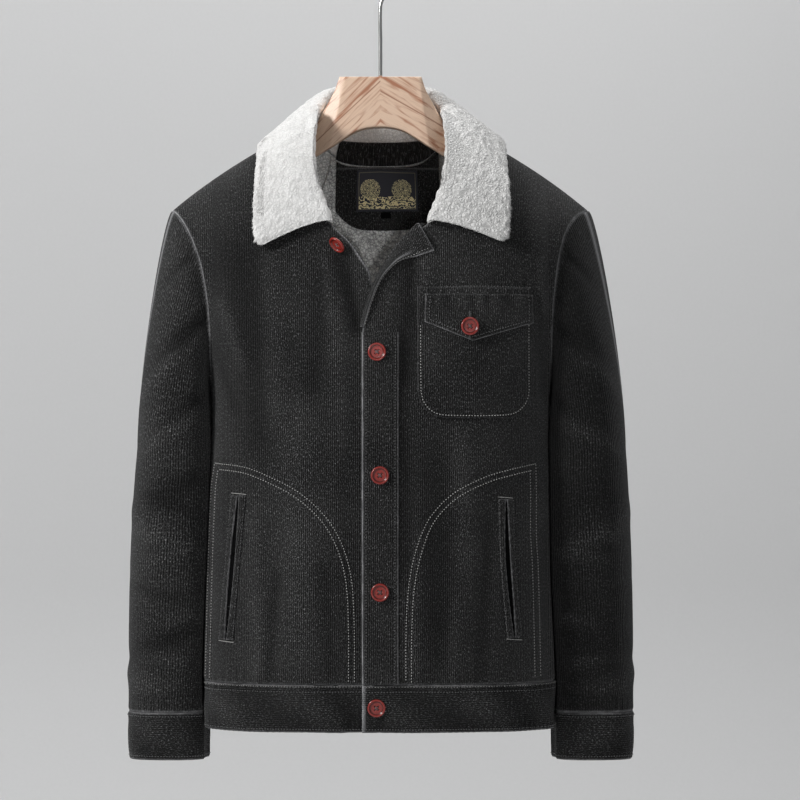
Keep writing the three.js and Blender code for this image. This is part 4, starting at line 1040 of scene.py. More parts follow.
def add_shell(name, outer, normals, thick, grain, materials, wraps=False, inner=None, wear_and_highlight=None,
              hollow=None, coarse=4, rounding=0.9, turn_at=0.0):
    """A wall of cloth, closed all round: a fine outer side, a coarser inner one and an edge.
    Its outer edge is rounded over, as folded and pressed cloth is."""
    rows, columns = outer.shape[:2]
    gap = edge_distance(outer, wraps)
    back_set = np.maximum(1 - gap / max(rounding, 1e-6), 0)
    sunk = rounding * (1 - np.sqrt(1 - back_set ** 2)) if rounding else 0 * gap
    face = outer - normals * sunk[..., None]
    js = np.arange(0, rows, coarse)
    ks = np.arange(0, columns, coarse)
    few = np.ix_(js, ks)
    inside = (inner if inner is not None else outer - normals * thick)[few]
    out_index = np.arange(rows * columns).reshape(rows, columns)
    in_index = rows * columns + np.arange(len(js) * len(ks)).reshape(len(js), -1)
    faces = grid_faces(out_index, wraps) + grid_faces(in_index, wraps, flip=True)
    counts = [(rows - 1) * (columns if wraps else columns - 1)]
    counts.append(len(faces) - counts[0])
    ring, last, low, high = (np.append(row, row[0]) if wraps else row
                             for row in (out_index[0], out_index[-1], in_index[0], in_index[-1]))
    rim = []
    for i in range(len(low) - 1):
        span = slice(i * coarse, (i + 1) * coarse + 1)
        rim.append([*ring[span][::-1], low[i], low[i + 1]])
        rim.append([*last[span], high[i + 1], high[i]])
    if not wraps:
        for j in range(len(js) - 1):
            span = slice(j * coarse, (j + 1) * coarse + 1)
            rim.append([*out_index[span, 0], in_index[j + 1, 0], in_index[j, 0]])
            rim.append([*out_index[span, -1][::-1], in_index[j, -1], in_index[j + 1, -1]])
    faces += [[int(v) for v in face_] for face_ in rim]
    points = np.concatenate([face.reshape(-1, 3), inside.reshape(-1, 3)])
    both_grain = np.concatenate([grain.reshape(-1, 2), grain[few].reshape(-1, 2)])
    values = {key: np.concatenate([value.ravel(), value[few].ravel() * 0])
              for key, value in (("wear_and_highlight", wear_and_highlight), ("hollow", hollow)) if value is not None}
    side_index = [0] * counts[0] + [len(materials) - 1] * counts[1] + [0] * len(rim)
    return add_mesh(name, points, faces, materials, both_grain, side_index, values, turn_at)


def edge_wear_and_highlight(outer, low=0.0, high=0.0, first=0.0, last=0.0, width=0.9):
    """Worn pale edges, with a painted highlight, along a grid's four edges: its first and last
    row, and its first and last column."""
    down, along = run_along(outer), run_along(outer, 1)
    broken = 0.78 + 0.22 * np.sin(down / 5.3 + 2 * np.sin(down / 17) + along / 6.1 + 2 * np.sin(along / 13))
    total = 0.0 * down
    sides = ((low, down), (high, down[-1] - down), (first, along), (last, along[:, -1:] - along))
    for strength, gap in sides:
        total = total + strength * np.exp(-((gap / width) ** 2))
    return clamp(total * broken)


def dress(obj, slot, *nodes):
    """Says that a piece stands for its CAD nodes and hangs with them."""
    if nodes:
        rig.replaces(obj, *nodes)
    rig.ride(obj, "root")
    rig.slot(obj, slot)
    return obj


# The cut of each piece: width and length of its cloth in metres, and its area in square metres
CUT = {
    "front": dict(flat=(0.27, 0.66), area=0.143),
    "back": dict(flat=(0.56, 0.64), area=0.281),
    "sleeve": dict(flat=(0.36, 0.60), area=0.17),
}


# Fronts and back

ROWS_BELOW = 128
ROWS_ABOVE = 96
FRONT_U = np.concatenate([np.linspace(0, 0.02, 4)[:-1], np.linspace(0.02, 0.98, 123),
                          np.linspace(0.98, 1, 4)[1:]])
BACK_HALF_COLUMNS = 80
NECK_SHARE = 5 / 12


def rising(w):
    return np.sin(w * math.pi / 2)


def spread(u, w):
    return 1 - (1 - u) ** mix(2.2, 1.2, smooth(w * 2.5))


def height_at(u, w, top):
    outer = (ARMHOLE_OF["z"](w) - UNDERARM_Z) / (ARMHOLE_OF["z"](1) - UNDERARM_Z)
    return UNDERARM_Z + (top - UNDERARM_Z) * mix(rising(w), outer, u * u)


def side_key(side):
    return "left" if side == LEFT else "right"


def front_grid(side):
    u = FRONT_U[None, :]
    z = np.linspace(HEM_SEAM_Z, UNDERARM_Z, ROWS_BELOW + 1)[:-1, None]
    x = mix(FRONT_EDGE[side](z), side * half_width(side, z), spread(u, 0))
    below = stack(x, surface_y(side, FRONT, x, z + 0 * u), z)
    w = np.linspace(0, 1, ROWS_ABOVE + 1)[:, None]
    top_x = mix(side * NECK_X, side * TIP_X, spread(u, 1))
    inner_z = height_at(0, w, NECK_Z)
    x = mix(FRONT_EDGE[side](inner_z), side * ARMHOLE_OF[side_key(side)](w), spread(u, w))
    z = np.where(w == 1, crest(x), height_at(u, w, crest(top_x)))
    above = stack(x, surface_y(side, FRONT, x, z), z)
    return np.concatenate([below, above])


def back_half(side):
    a = np.linspace(0, 1, BACK_HALF_COLUMNS + 1)[None, :]
    z = np.linspace(HEM_SEAM_Z, UNDERARM_Z, ROWS_BELOW + 1)[:-1, None]
    x = side * half_width(side, z) * spread(a, 0)
    below = stack(x, surface_y(side, BACK, x, z + 0 * a), z)
    w = np.linspace(0, 1, ROWS_ABOVE + 1)[:, None]
    at_neck = a < NECK_SHARE
    top_x = np.where(at_neck, NECK_X * a / NECK_SHARE,
                     mix(NECK_X, TIP_X, (a - NECK_SHARE) / (1 - NECK_SHARE)))
    wide = ARMHOLE_OF[side_key(side)](w)
    x = side * mix(wide * spread(a, w), top_x * (wide / TIP_X) ** (a * a), smooth(w * 1.2))
    top = np.where(at_neck, BACK_NECK_Z(top_x), crest(top_x))
    z = height_at(a, w, top)
    above = stack(x, surface_y(side, BACK, x, z), z)
    return np.concatenate([below, above])


def row_share():
    """For each row of a panel, how far up the armhole it is, or 0 below it."""
    return np.concatenate([np.zeros(ROWS_BELOW), np.linspace(0, 1, ROWS_ABOVE + 1)])


def square_seams(normals, shoulder, sides):
    """Seams shared with the other panel keep one normal, square to the seam's gap."""
    keep = 1 - smooth(1 - row_share() * 14)
    for column in sides:
        normals[:, column, 1] *= keep
    normals[-1, shoulder, 1] = 0
    normals[:] = unit(normals)


ARMHOLE_EDGES = {}


def remember_armhole(side, face, outer, inner, column):
    ARMHOLE_EDGES[side, face] = (outer[ROWS_BELOW:, column], inner[ROWS_BELOW:, column])


def panel_grain(grid):
    return stack(grain_across(grid[..., 0]), grid[..., 2])


def panel_wear_and_highlight(outer, side):
    """Worn pale edges with a painted highlight: most along the opening and the armhole, where the highlight is
    stronger on the left front.
    """
    high_up = smooth(row_share() * 3)[:, None]
    wear_and_highlight = edge_wear_and_highlight(outer, low=0.3, high=0.4, first=0.7, last=0.5, width=1.2)
    return clamp(wear_and_highlight + edge_wear_and_highlight(outer, last=0.9 if side == LEFT else 0.4, width=1.4) * high_up)


class JACKET_OT_fronts(bpy.types.Operator):
    """Adds the two fronts, each one plain needlecord outside and fleece inside"""

    bl_idname = "jacket.fronts"
    bl_label = "Fronts"

    def execute(self, context):
        for side in (LEFT, RIGHT):
            outer = front_grid(side)
            normals = grid_normals(outer, np.array([0.2 * side, FRONT, 0.2]))
            square_seams(normals, slice(None), [-1])
            inner = outer - normals * CLOTH
            remember_armhole(side, FRONT, outer, inner, -1)
            name = f"front_{side_key(side)}"
            obj = add_shell(f"{name}_cloth", outer, normals, CLOTH, panel_grain(outer),
                            [needlecord(), lining_fleece()], wear_and_highlight=panel_wear_and_highlight(outer, side), coarse=2,
                            # Painted shade in the creases and painted highlight on their ridges
                            hollow=painted_relief_shade(creased(side, FRONT, outer[..., 0], outer[..., 2])))
            dress(obj, "corduroy", name)
            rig.sheet(obj, held="hung", rests_on=["hanger"], **CUT["front"])
        return {"FINISHED"}


class JACKET_OT_back(bpy.types.Operator):
    """Adds the back, one panel from armhole to armhole"""

    bl_idname = "jacket.back"
    bl_label = "Back"

    def execute(self, context):
        left = back_half(LEFT)[:, ::-1]
        right = back_half(RIGHT)
        outer = np.concatenate([left, right[:, 1:]], axis=1)
        normals = grid_normals(outer, np.array([0, BACK, 0.2]))
        columns = outer.shape[1]
        neck = int(BACK_HALF_COLUMNS * NECK_SHARE)
        middle = columns // 2
        shoulder = [i for i in range(columns) if abs(i - middle) >= neck]
        square_seams(normals, shoulder, [0, -1])
        inner = outer - normals * CLOTH
        remember_armhole(LEFT, BACK, outer, inner, 0)
        remember_armhole(RIGHT, BACK, outer, inner, -1)
        obj = add_shell("back_cloth", outer, normals, CLOTH, panel_grain(outer),
                        [needlecord(), lining_fleece()], wear_and_highlight=edge_wear_and_highlight(outer, 0.2, 0.3, 0.4, 0.4),
                        # Painted shade in the creases and painted highlight on their ridges
                        hollow=painted_relief_shade(creased(np.sign(outer[..., 0]), BACK, outer[..., 0], outer[..., 2])))
        dress(obj, "corduroy", "back")
        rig.sheet(obj, held="hung", rests_on=["hanger"], **CUT["back"])
        return {"FINISHED"}


# Sleeves and cuffs

AROUND = 2 * ROWS_ABOVE
CAP_T = np.linspace(0, 1, 45) ** 1.35
SLEEVE_ROWS = 100
SLEEVE_ROUND = 270.0
SLEEVE_OF = {key: curve(SLEEVE, "z", key) for key in ("left", "right", "inner", "front", "back")}


def body_side(side, y, z):
    """The half width of the body at y, level with z."""
    level = np.maximum(z, HEM_Z)
    full = np.where(y < 0, full_depth(FRONT, level), full_depth(BACK, level))
    share = np.minimum(np.abs(y) / full, 1)
    return half_width(side, level) * (1 - share ** SIDE_FULLNESS) ** (1 / SIDE_FULLNESS)


def sleeve_point(side, k, z, inset):
    """A point round a sleeve: 0 is its outer side, a quarter turn on is its front."""
    angle = 2 * math.pi * k / AROUND
    outer = SLEEVE_OF[side_key(side)](z)
    inner = SLEEVE_OF["inner"](z)
    half_x = (outer - inner) / 2 - inset
    half_y = (SLEEVE_OF["back"](z) - SLEEVE_OF["front"](z)) / 2 - inset
    power = 2 / SLEEVE_FULLNESS
    cos, sin = np.cos(angle), np.sin(angle)
    x = (outer + inner) / 2 + half_x * np.sign(cos) * np.abs(cos) ** power
    y = (SLEEVE_OF["back"](z) + SLEEVE_OF["front"](z)) / 2 - half_y * np.sign(sin) * np.abs(sin) ** power
    x = np.maximum(x, body_side(side, y, z) + BODY_CLEAR + inset)
    return stack(side * x, y, z)


def lowness(k):
    return (1 - np.cos(2 * math.pi * k / AROUND)) / 2


def crease_round(creases, k, z):
    angle = 360 * k / AROUND
    total = np.zeros(np.broadcast(angle, z).shape)
    for c in creases:
        turn = ((angle - c["angle"] + 540) % 360) - 180
        away = (z - c["z"] - c["rise"] * turn / 90) / c["tall"]
        total = total + c["high"] * np.exp(-away * away - (turn / c["spread"]) ** 2)
    return total


def armhole_loop(side, which):
    front = ARMHOLE_EDGES[side, FRONT][which]
    back = ARMHOLE_EDGES[side, BACK][which]
    loop = np.concatenate([front[::-1], back[1:-1]])
    loop[[0, ROWS_ABOVE], 1] = 0
    return loop


def sleeve_grid(side):
    """The middle of a sleeve's cloth, from the armhole down to the cuff, and its two edges there."""
    k = np.arange(AROUND)
    outer_loop, inner_loop = armhole_loop(side, 0), armhole_loop(side, 1)
    tangent = np.roll(outer_loop, -1, 0) - np.roll(outer_loop, 1, 0)
    away = unit(np.cross(tangent, outer_loop - inner_loop))
    outward = np.array([side, 0, 0.4])
    away = away * np.where(away @ outward < 0, -1, 1)[:, None]
    lean = 1.2 * smooth((lowness(k) - 0.5) * 2)
    away = unit(away + lean[:, None] * np.array([side, 0, 0]))
    gap = SEAM * (1 + smooth((0.3 - np.abs(k / ROWS_ABOVE - 1)) / 0.2))
    shift = away * gap[:, None]
    start = (outer_loop + inner_loop) / 2 + shift
    top_z = SLEEVE[0]["z"]
    end = sleeve_point(side, k, np.full(AROUND, float(top_z)), CLOTH / 2)
    out = away * mix(CAP_LEAVES, UNDERARM_LEAVES, lowness(k))[:, None]
    down = np.zeros((AROUND, 3))
    down[:, 2] = -0.9 * np.linalg.norm(start - end, axis=1)
    cap = np.stack([hermite(start, out, end, down, t) for t in CAP_T])
    z = np.linspace(top_z, CUFF_SEAM_Z, SLEEVE_ROWS + 1)[1:, None]
    tube = sleeve_point(side, k[None, :], z + 0.0 * k, CLOTH / 2)
    centre = np.concatenate([cap, tube])
    middle = centre.mean(axis=1, keepdims=True)
    radial = centre - middle
    radial[..., 2] = 0
    radial = unit(radial)
    last = len(centre) - 1
    j = np.arange(len(centre))[:, None]
    held = smooth(j / 22) * smooth((last - j) / 10)
    outward = smooth((side * radial[..., 0] + 0.75) * 2)
    relief = crease_round(SLEEVE_FOLDS, k, centre[..., 2]) + crease_round(SLEEVE_CREASES, k, centre[..., 2])
    ruck = 0.5 * np.sin(2 * math.pi * k / 7.0 + 1.3 * np.sin(k / 5)) * smooth(1 - np.abs(j - last) / 8)
    # The cap sinks where it is drawn into the armhole's seam
    relief = relief * held - CAP_SINK * np.exp(-(((j - 9) / 6) ** 2)) * smooth(lowness(k) * 3)
    centre = centre + radial * ((relief + ruck) * outward)[..., None]
    return centre, outer_loop + shift, inner_loop + shift, painted_relief_shade(relief * outward)


def cloth_round(outer):
    """How far round a tube each of its columns lies, on the row half way down."""
    row = outer[len(outer) // 2]
    step = np.linalg.norm(row - np.roll(row, 1, 0), axis=-1)
    at = np.cumsum(step) - step[0]
    return at * SLEEVE_ROUND / step.sum()


# The grids that stitching follows, each with its normals
SEWN_GRIDS = {}
# Painted shade on the right sleeve: it is darker because less light falls on it
PAINTED_SLEEVE_SHADE = {LEFT: 0.0, RIGHT: 1.0}


class JACKET_OT_sleeves(bpy.types.Operator):
    """Adds the sleeves, each one tube from its armhole to its cuff"""

    bl_idname = "jacket.sleeves"
    bl_label = "Sleeves"

    def execute(self, context):
        for side in (LEFT, RIGHT):
            centre, outer_edge, inner_edge, shade = sleeve_grid(side)
            middle = centre[-1].mean(axis=0)
            outward = (centre - middle) * np.array([1, 1, 0])
            normals = grid_normals(centre, outward, wraps=True)
            outer = centre + normals * CLOTH / 2
            inner = centre - normals * (CLOTH / 2 + 0.4)
            outer[0], inner[0] = outer_edge, inner_edge
            steps = np.linalg.norm(np.diff(outer, axis=0), axis=-1).mean(axis=1)
            down = np.concatenate([[0], np.cumsum(steps)])
            around = cloth_round(outer)
            grain = stack(around[None, :], -down[:, None])
            # A pale line down the sleeve's outer seam: a worn seam and a painted highlight
            seam = 0.75 * np.exp(-((np.arange(AROUND) - 4) ** 2) / 1.3)[None, :]
            wear_and_highlight = clamp(edge_wear_and_highlight(outer, low=0.3, high=0.75, width=1.5) + seam)
            name = f"sleeve_{side_key(side)}"
            obj = add_shell(f"{name}_cloth", outer, normals, CLOTH, grain, [needlecord(), lining_fleece()],
                            wraps=True, inner=inner, wear_and_highlight=wear_and_highlight, coarse=2, turn_at=SLEEVE_ROUND,
                            hollow=shade + PAINTED_SLEEVE_SHADE[side])
            dress(obj, "corduroy", name)
            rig.sheet(obj, held="hung", rests_on=[f"front_{side_key(side)}_cloth"], **CUT["sleeve"])
        return {"FINISHED"}


CUFF_ROWS = 25


class JACKET_OT_cuffs(bpy.types.Operator):
    """Adds the cuffs, bands with their ridges running round"""

    bl_idname = "jacket.cuffs"
    bl_label = "Cuffs"

    def execute(self, context):
        k = np.arange(AROUND)[None, :]
        z = np.linspace(CUFF_SEAM_Z - SEAM, CUFF_END_Z, CUFF_ROWS)[:, None]
        for side in (LEFT, RIGHT):
            fuller = 0.8 * smooth((CUFF_SEAM_Z - z) / 5)
            outer = sleeve_point(side, k, z + 0.0 * k, 0.0)
            radial = outer - outer.mean(axis=1, keepdims=True)
            radial[..., 2] = 0
            radial = unit(radial)
            away = smooth((side * radial[..., 0] + 0.75) * 2)
            ruck = (0.45 * np.sin(2 * math.pi * k / 8.0 + 1.7 * np.sin(k / 6))
                    * np.exp(-((z - CUFF_SEAM_Z) / 9) ** 2))
            stitched = -0.5 * np.exp(-(((z - CUFF_END_Z - 5) / 1.6) ** 2))
            dent = 1.2 * np.sin(k / 9.0 + z / 12.0 + np.sin(k / 23.0)) * smooth((CUFF_SEAM_Z - z) / 20)
            outer = outer + radial * ((fuller + ruck + stitched + dent) * away)[..., None]
            normals = grid_normals(outer, radial, wraps=True)
            SEWN_GRIDS["cuff", side] = (outer, normals)
            around = cloth_round(outer)
            grain = stack(z, around[None, :])
            name = f"cuff_{side_key(side)}"
            obj = add_shell(f"{name}_cloth", outer, normals, BAND_CLOTH - 0.2, grain, [needlecord()],
                            wraps=True, wear_and_highlight=edge_wear_and_highlight(outer, 0.7, 0.7, width=1.2),
                            # Painted shade in the cuff's rucks and dents
                            hollow=painted_relief_shade(1.8 * (ruck + dent + 0 * z)))
            dress(obj, "corduroy", name)
            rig.sheet(obj, flat=(0.285, 0.056), held="hung", rests_on=[f"sleeve_{side_key(side)}_cloth"])
        return {"FINISHED"}


class JACKET_OT_waistband(bpy.types.Operator):
    """Adds the waistband, from the right front's edge round the body to the left front's"""

    bl_idname = "jacket.waistband"
    bl_label = "Waistband"

    def execute(self, context):
        z = np.linspace(HEM_SEAM_Z - SEAM, HEM_Z, 29)[:, None]

        def stretch(side, face, start, count):
            u = np.linspace(0, 1, count + 1)[None, :]
            x = mix(start(z), side * half_width(side, z), spread(u, 0))
            y = np.where(u == 1, 0, surface_y(side, face, x, z + 0 * u))
            return stack(x, y, z)

        def middle(level):
            return 0.0 * level

        parts = [stretch(RIGHT, FRONT, FRONT_EDGE[RIGHT], 96),
                 stretch(RIGHT, BACK, middle, 84)[:, ::-1][:, 1:],
                 stretch(LEFT, BACK, middle, 84)[:, 1:],
                 stretch(LEFT, FRONT, FRONT_EDGE[LEFT], 84)[:, ::-1][:, 1:]]
        outer = np.concatenate(parts, axis=1)
        run = run_along(outer[0])[None, :]
        outward = outer * np.array([1, 1, 0])
        normals = grid_normals(outer, outward)
        top = np.exp(-(((z - HEM_SEAM_Z) / 10) ** 2))
        bottom = np.exp(-(((z - HEM_Z) / 12) ** 2))
        gather = 0.8 * np.sin(2 * math.pi * run / 8.5 + 1.5 * np.sin(run / 25)) * top
        gather = gather + 0.9 * np.sin(2 * math.pi * run / 7.5 + 1.2 * np.sin(run / 17)) * bottom
        swell = (0.9 * np.sin(math.pi * (z - HEM_Z) / (HEM_SEAM_Z - HEM_Z))
                 + 1.1 * np.sin(run / 14 + z / 12 + np.sin(run / 31)))
        rows = -0.5 * np.exp(-(((z - HEM_SEAM_Z + 7) / 1.6) ** 2))
        relief = np.minimum(gather + swell + rows, 2.2) - 0.4
        ends = smooth(run / 6) * smooth((run[:, -1:] - run) / 6)
        outer = outer + normals * (relief * ends)[..., None]
        SEWN_GRIDS["band"] = (outer, normals)
        grain = stack(z, run)
        obj = add_shell("waistband_cloth", outer, normals, BAND_CLOTH, grain, [needlecord()],
                        wear_and_highlight=edge_wear_and_highlight(outer, 0.6, 0.7, 1.0, 0.6, width=1.2),
                        # Painted shade in the waistband's gathers
                        hollow=painted_relief_shade(1.6 * (relief - 0.5)))
        dress(obj, "corduroy", "waistband")
        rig.sheet(obj, flat=(0.98, 0.056), held="hung", rests_on=["front_right_cloth", "back_cloth"])
        return {"FINISHED"}


# Pieces that lie on a front

def lay_on(name, side, face, x, z, low, high, material, node, edges, shift=0.0, slot="corduroy",
           relief=0.0, coarse=4, width=0.9):
    """Lays a piece on a panel: a grid of (x, z) places, the lift of each side, and how pale
    the grid's edges are worn, with a painted highlight."""
    x, z = np.broadcast_arrays(np.asarray(x, float), np.asarray(z, float))
    outer = on_panel(side, face, x, z, high + relief)
    inner = on_panel(side, face, x, z, low)
    # Painted shade in creases and low places, painted highlight on ridges
    hollow = painted_relief_shade(creased(side, face, x, z) + 2 * (relief - np.mean(relief)) + 0 * x)
    normals = grid_normals(outer, outer - inner)
    grain = stack(grain_across(x) + shift, z)
    obj = add_shell(name, outer, normals, 1.0, grain, [material], inner=inner, coarse=coarse,
                    wear_and_highlight=edge_wear_and_highlight(outer, *edges, width=width), hollow=hollow, rounding=0.7)
    dress(obj, slot, node)
    return obj, outer, normals


class JACKET_OT_closure(bpy.types.Operator):
    """Adds the stitched band down the right front, and its turned-out top"""

    bl_idname = "jacket.closure"
    bl_label = "Placket and lapel"

    def execute(self, context):
        z, u = grid_shares(193, 41, HEM_SEAM_Z + SEAM, PLACKET["top"])
        # Closer columns at both edges
        x = mix(PLACKET["left"], PLACKET["right"], mix(u, (1 - np.cos(math.pi * u)) / 2, 0.6))
        swell = 0.25 * np.sin(z / 11 + x / 9)
        obj, _, _ = lay_on("placket_cloth", RIGHT, FRONT, x, z, SEAM, SEAM + PLACKET["thick"], needlecord(),
                           "placket", edges=(0.2, 0.0, 1.0, 0.3), shift=0.9, relief=swell, width=1.5)
        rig.sheet(obj, flat=(0.0405, 0.389), held="hung", rests_on=["front_right_cloth"])
        self.add_lapel()
        return {"FINISHED"}

    def add_lapel(self):
        # Across it: the share of the way from roll to edge, and shift and lift, low down and higher up
        section = table("at out low_tuck low_lift tuck lift", [
            (0, 0, -1.2, -2, 7, -CLOTH - 2.4),
            (1, 0, -1.8, -1.2, 1, -CLOTH - 2.2),
            (2, 0, -1.9, -0.3, -1.9, -1.2),
            (3, 0.02, 0, 1.4, 0, 1.4),
            (4, 0.35, 0, 2.3, 0, 4.2),
            (5, 0.7, 0, 2.4, 0, 4.4),
            (6, 1, 0, 1.6, 0, 2.6),
        ])
        v = np.linspace(0, 6, 49)[None, :]
        part = {key: curve(section, "at", key)(v) for key in ("out", "low_tuck", "low_lift", "tuck", "lift")}
        part["out"] = clamp(part["out"])
        t = np.linspace(0, 1, 97)[:, None]
        row = {key: curve(LAPEL, "at", key)(t) for key in ("roll_x", "roll_z", "edge_x", "edge_z")}
        turned = np.where(part["out"] > 0.005, smooth(t * 3), smooth((t - 0.56) / 0.25))
        x = mix(row["roll_x"], row["edge_x"], part["out"]) + mix(part["low_tuck"], part["tuck"], turned)
        z = mix(row["roll_z"], row["edge_z"], part["out"])
        lift = mix(part["low_lift"], part["lift"], turned)
        centre = on_panel(RIGHT, FRONT, x, z, 0.0)
        centre[..., 1] -= lift + 0.35 * np.sin(t * 40 + v) * smooth(t * 3) * part["out"]
        normals = grid_normals(centre, np.array([0, FRONT, 0]))
        outer = centre + normals * 0.7
        inner = centre - normals * 0.7
        across, down = run_along(centre[-1])[None, :], t * 135
        # The facing is cut on the slant, so its ridges run off at an angle
        grain = stack(0.8 * across + 0.6 * down, 0.8 * down - 0.6 * across)
        # Worn pale edge and painted highlight along the lapel's edge, and a second pale line inside it
        wear_and_highlight = clamp(edge_wear_and_highlight(outer, last=1.0, width=1.3) + edge_wear_and_highlight(outer, low=0.3, high=0.5)
                     + 0.75 * np.exp(-(((v - 4.9) / 0.22) ** 2)) * (1 - smooth((t - 0.72) * 6)))
        obj = add_shell("lapel_cloth", outer, normals, 1.4, grain, [needlecord()], inner=inner, wear_and_highlight=wear_and_highlight,
                        rounding=0.5)
        dress(obj, "corduroy", "lapel")
        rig.sheet(obj, flat=(0.021, 0.135), held="folded", rests_on=["front_right_cloth"])
        SEWN_GRIDS["lapel"] = (outer, normals)


class JACKET_OT_chest_pocket(bpy.types.Operator):
    """Adds the chest pocket and its pointed flap"""

    bl_idname = "jacket.chest_pocket"
    bl_label = "Chest pocket"

    def execute(self, context):
        t, u = grid_shares(89, 97)
        z = mix(POCKET["top"], POCKET["bottom"], t ** 0.9)
        into = np.maximum(POCKET["corner"] - (z - POCKET["bottom"]), 0)
        cut = POCKET["corner"] - np.sqrt(np.maximum(POCKET["corner"] ** 2 - into ** 2, 0))
        x = mix(POCKET["left"] + cut, POCKET["right"] - cut, u)
        high = POCKET_LIFT + POCKET["thick"]
        swell = 0.5 * np.sin(x / 21) * np.sin(z / 26) + 0.3
        swell = swell * smooth(u * 8) * smooth((1 - u) * 8) * smooth((1 - t) * 8)
        obj, _, _ = lay_on("pocket_cloth", RIGHT, FRONT, x, z, POCKET_LIFT, high, needlecord(), "pocket",
                           edges=(0.1, 0.12, 0.12, 0.12), shift=1.3, relief=swell)
        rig.sheet(obj, flat=(0.132, 0.146), area=0.0182, held="hung", rests_on=["front_right_cloth"])
        t = np.linspace(0, 1, 41)[:, None]
        x = mix(FLAP["left"], FLAP["right"], u)
        z = mix(FLAP["top"], flap_bottom(x), t)
        hang = (FLAP["top"] - z) / (FLAP["top"] - FLAP["point"])
        low = FLAP_LIFT + FLAP_HANG * hang ** 2
        pulled = 1.1 * np.sin(x / 3.3 + np.sin(x / 9)) * smooth(1 - t * 1.6)
        obj, _, _ = lay_on("pocket_flap_cloth", RIGHT, FRONT, x, z, low, low + FLAP["thick"], needlecord(),
                           "pocket_flap", edges=(0.15, 0.6, 0.3, 0.35), shift=0.4,
                           relief=pulled + 0.2 * np.sin(x / 15 + z / 8))
        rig.sheet(obj, flat=(0.122, 0.053), area=0.0052, held="hung", rests_on=["pocket_cloth"])
        return {"FINISHED"}


# How far each lip of a side pocket gives way in its middle
MOUTH_GAPE = 2.0


def mouth_gape(z, top, end):
    return MOUTH_GAPE * np.sin(math.pi * (z - end) / (top - end)) ** 0.8


class JACKET_OT_side_pockets(bpy.types.Operator):
    """Adds the lips of the slanted side pockets, rucked by their stitching"""

    bl_idname = "jacket.side_pockets"
    bl_label = "Side pockets"

    def execute(self, context):
        for side in (LEFT, RIGHT):
            slit, top, end = pocket_slit(side)
            z, u = grid_shares(113, 17, top, end)
            for edge, way in (("outer", side), ("inner", -side)):
                gape = mouth_gape(z, top, end)
                uneven = 0.7 * np.sin(2 * math.pi * z / 8.5 + 1.3 * np.sin(z / 17) + way)
                x = slit(z) + way * (mix(LIP["slit"] + gape, LIP["slit"] + LIP["wide"], u) + uneven * u)
                round_over = np.sqrt(np.maximum(1 - (u * 1.02 - 0.22) ** 2 / 0.68, 0.03))
                ruck = 0.8 * np.sin(2 * math.pi * z / 9 + 1.5 * np.sin(z / 19) + 2 * way) * smooth(u * 3)
                high = SEAM + 0.5 + (LIP["thick"] - 0.6) * round_over + ruck
                node = f"{side_key(side)}_pocket_lip_{edge}"
                obj, _, _ = lay_on(f"{node}_cloth", side, FRONT, x, z, SEAM, high, needlecord(), node,
                                   edges=(0.2, 0.2, 0.55, 0.15), shift=0.7)
                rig.sheet(obj, flat=(0.0101, 0.163), held="stretched",
                         rests_on=[f"front_{side_key(side)}_cloth"])
        self.add_slits()
        return {"FINISHED"}

    def add_slits(self):
        """Near-black sheets that paint the shade in the mouths between the lips."""
        for side in (LEFT, RIGHT):
            slit, top, end = pocket_slit(side)
            z, u = grid_shares(57, 5, top - 2, end + 2)
            x = slit(z) + (u - 0.5) * 2 * (LIP["slit"] + mouth_gape(z, top, end) + 0.4)
            grid = on_panel(side, FRONT, x, z, 0.12)
            normals = grid_normals(grid, np.array([0, FRONT, 0]))
            grain = stack(grain_across(x), z)
            obj = add_shell(f"{side_key(side)}_pocket_mouth", grid, normals, 0.08, grain, [painted_shade_cloth()],
                            rounding=0.0)
            dress(obj, "corduroy")


# The collar and what shows inside the neck

ROWS = len(COLLAR) - 1
PAST_CENTRE = {key: -v if key in ("seam_x", "roll_x", "edge_x") else v for key, v in COLLAR[-2].items()}
COLLAR_OF = {key: curve([dict(row, i=i) for i, row in enumerate([*COLLAR, PAST_CENTRE])], "i", key)
             for key in COLLAR[0]}


def lift_off(p, clear):
    """Lifts points clear of the torso's outer surface, by the shorter way."""
    x, y, z = p[..., 0], p[..., 1], p[..., 2]
    side = np.where(x < 0, LEFT, RIGHT)
    face = np.where(y < 0, FRONT, BACK)
    need = depth(side, face, x, z, clear) - np.abs(y)
    full = depth(side, face, x, crest(x) - SHOULDER_ROLL, clear)
    share = np.minimum(np.abs(y) / full, 1)
    top = crest(x) + clear - SHOULDER_ROLL * (1 - np.sqrt(1 - share * share))
    rises = (top - z < need) & (need > 0)
    out = p.copy()
    out[..., 2] = np.where(rises, top, z)
    out[..., 1] = np.where((need > 0) & ~rises, face * (np.abs(y) + need), y)
    return out


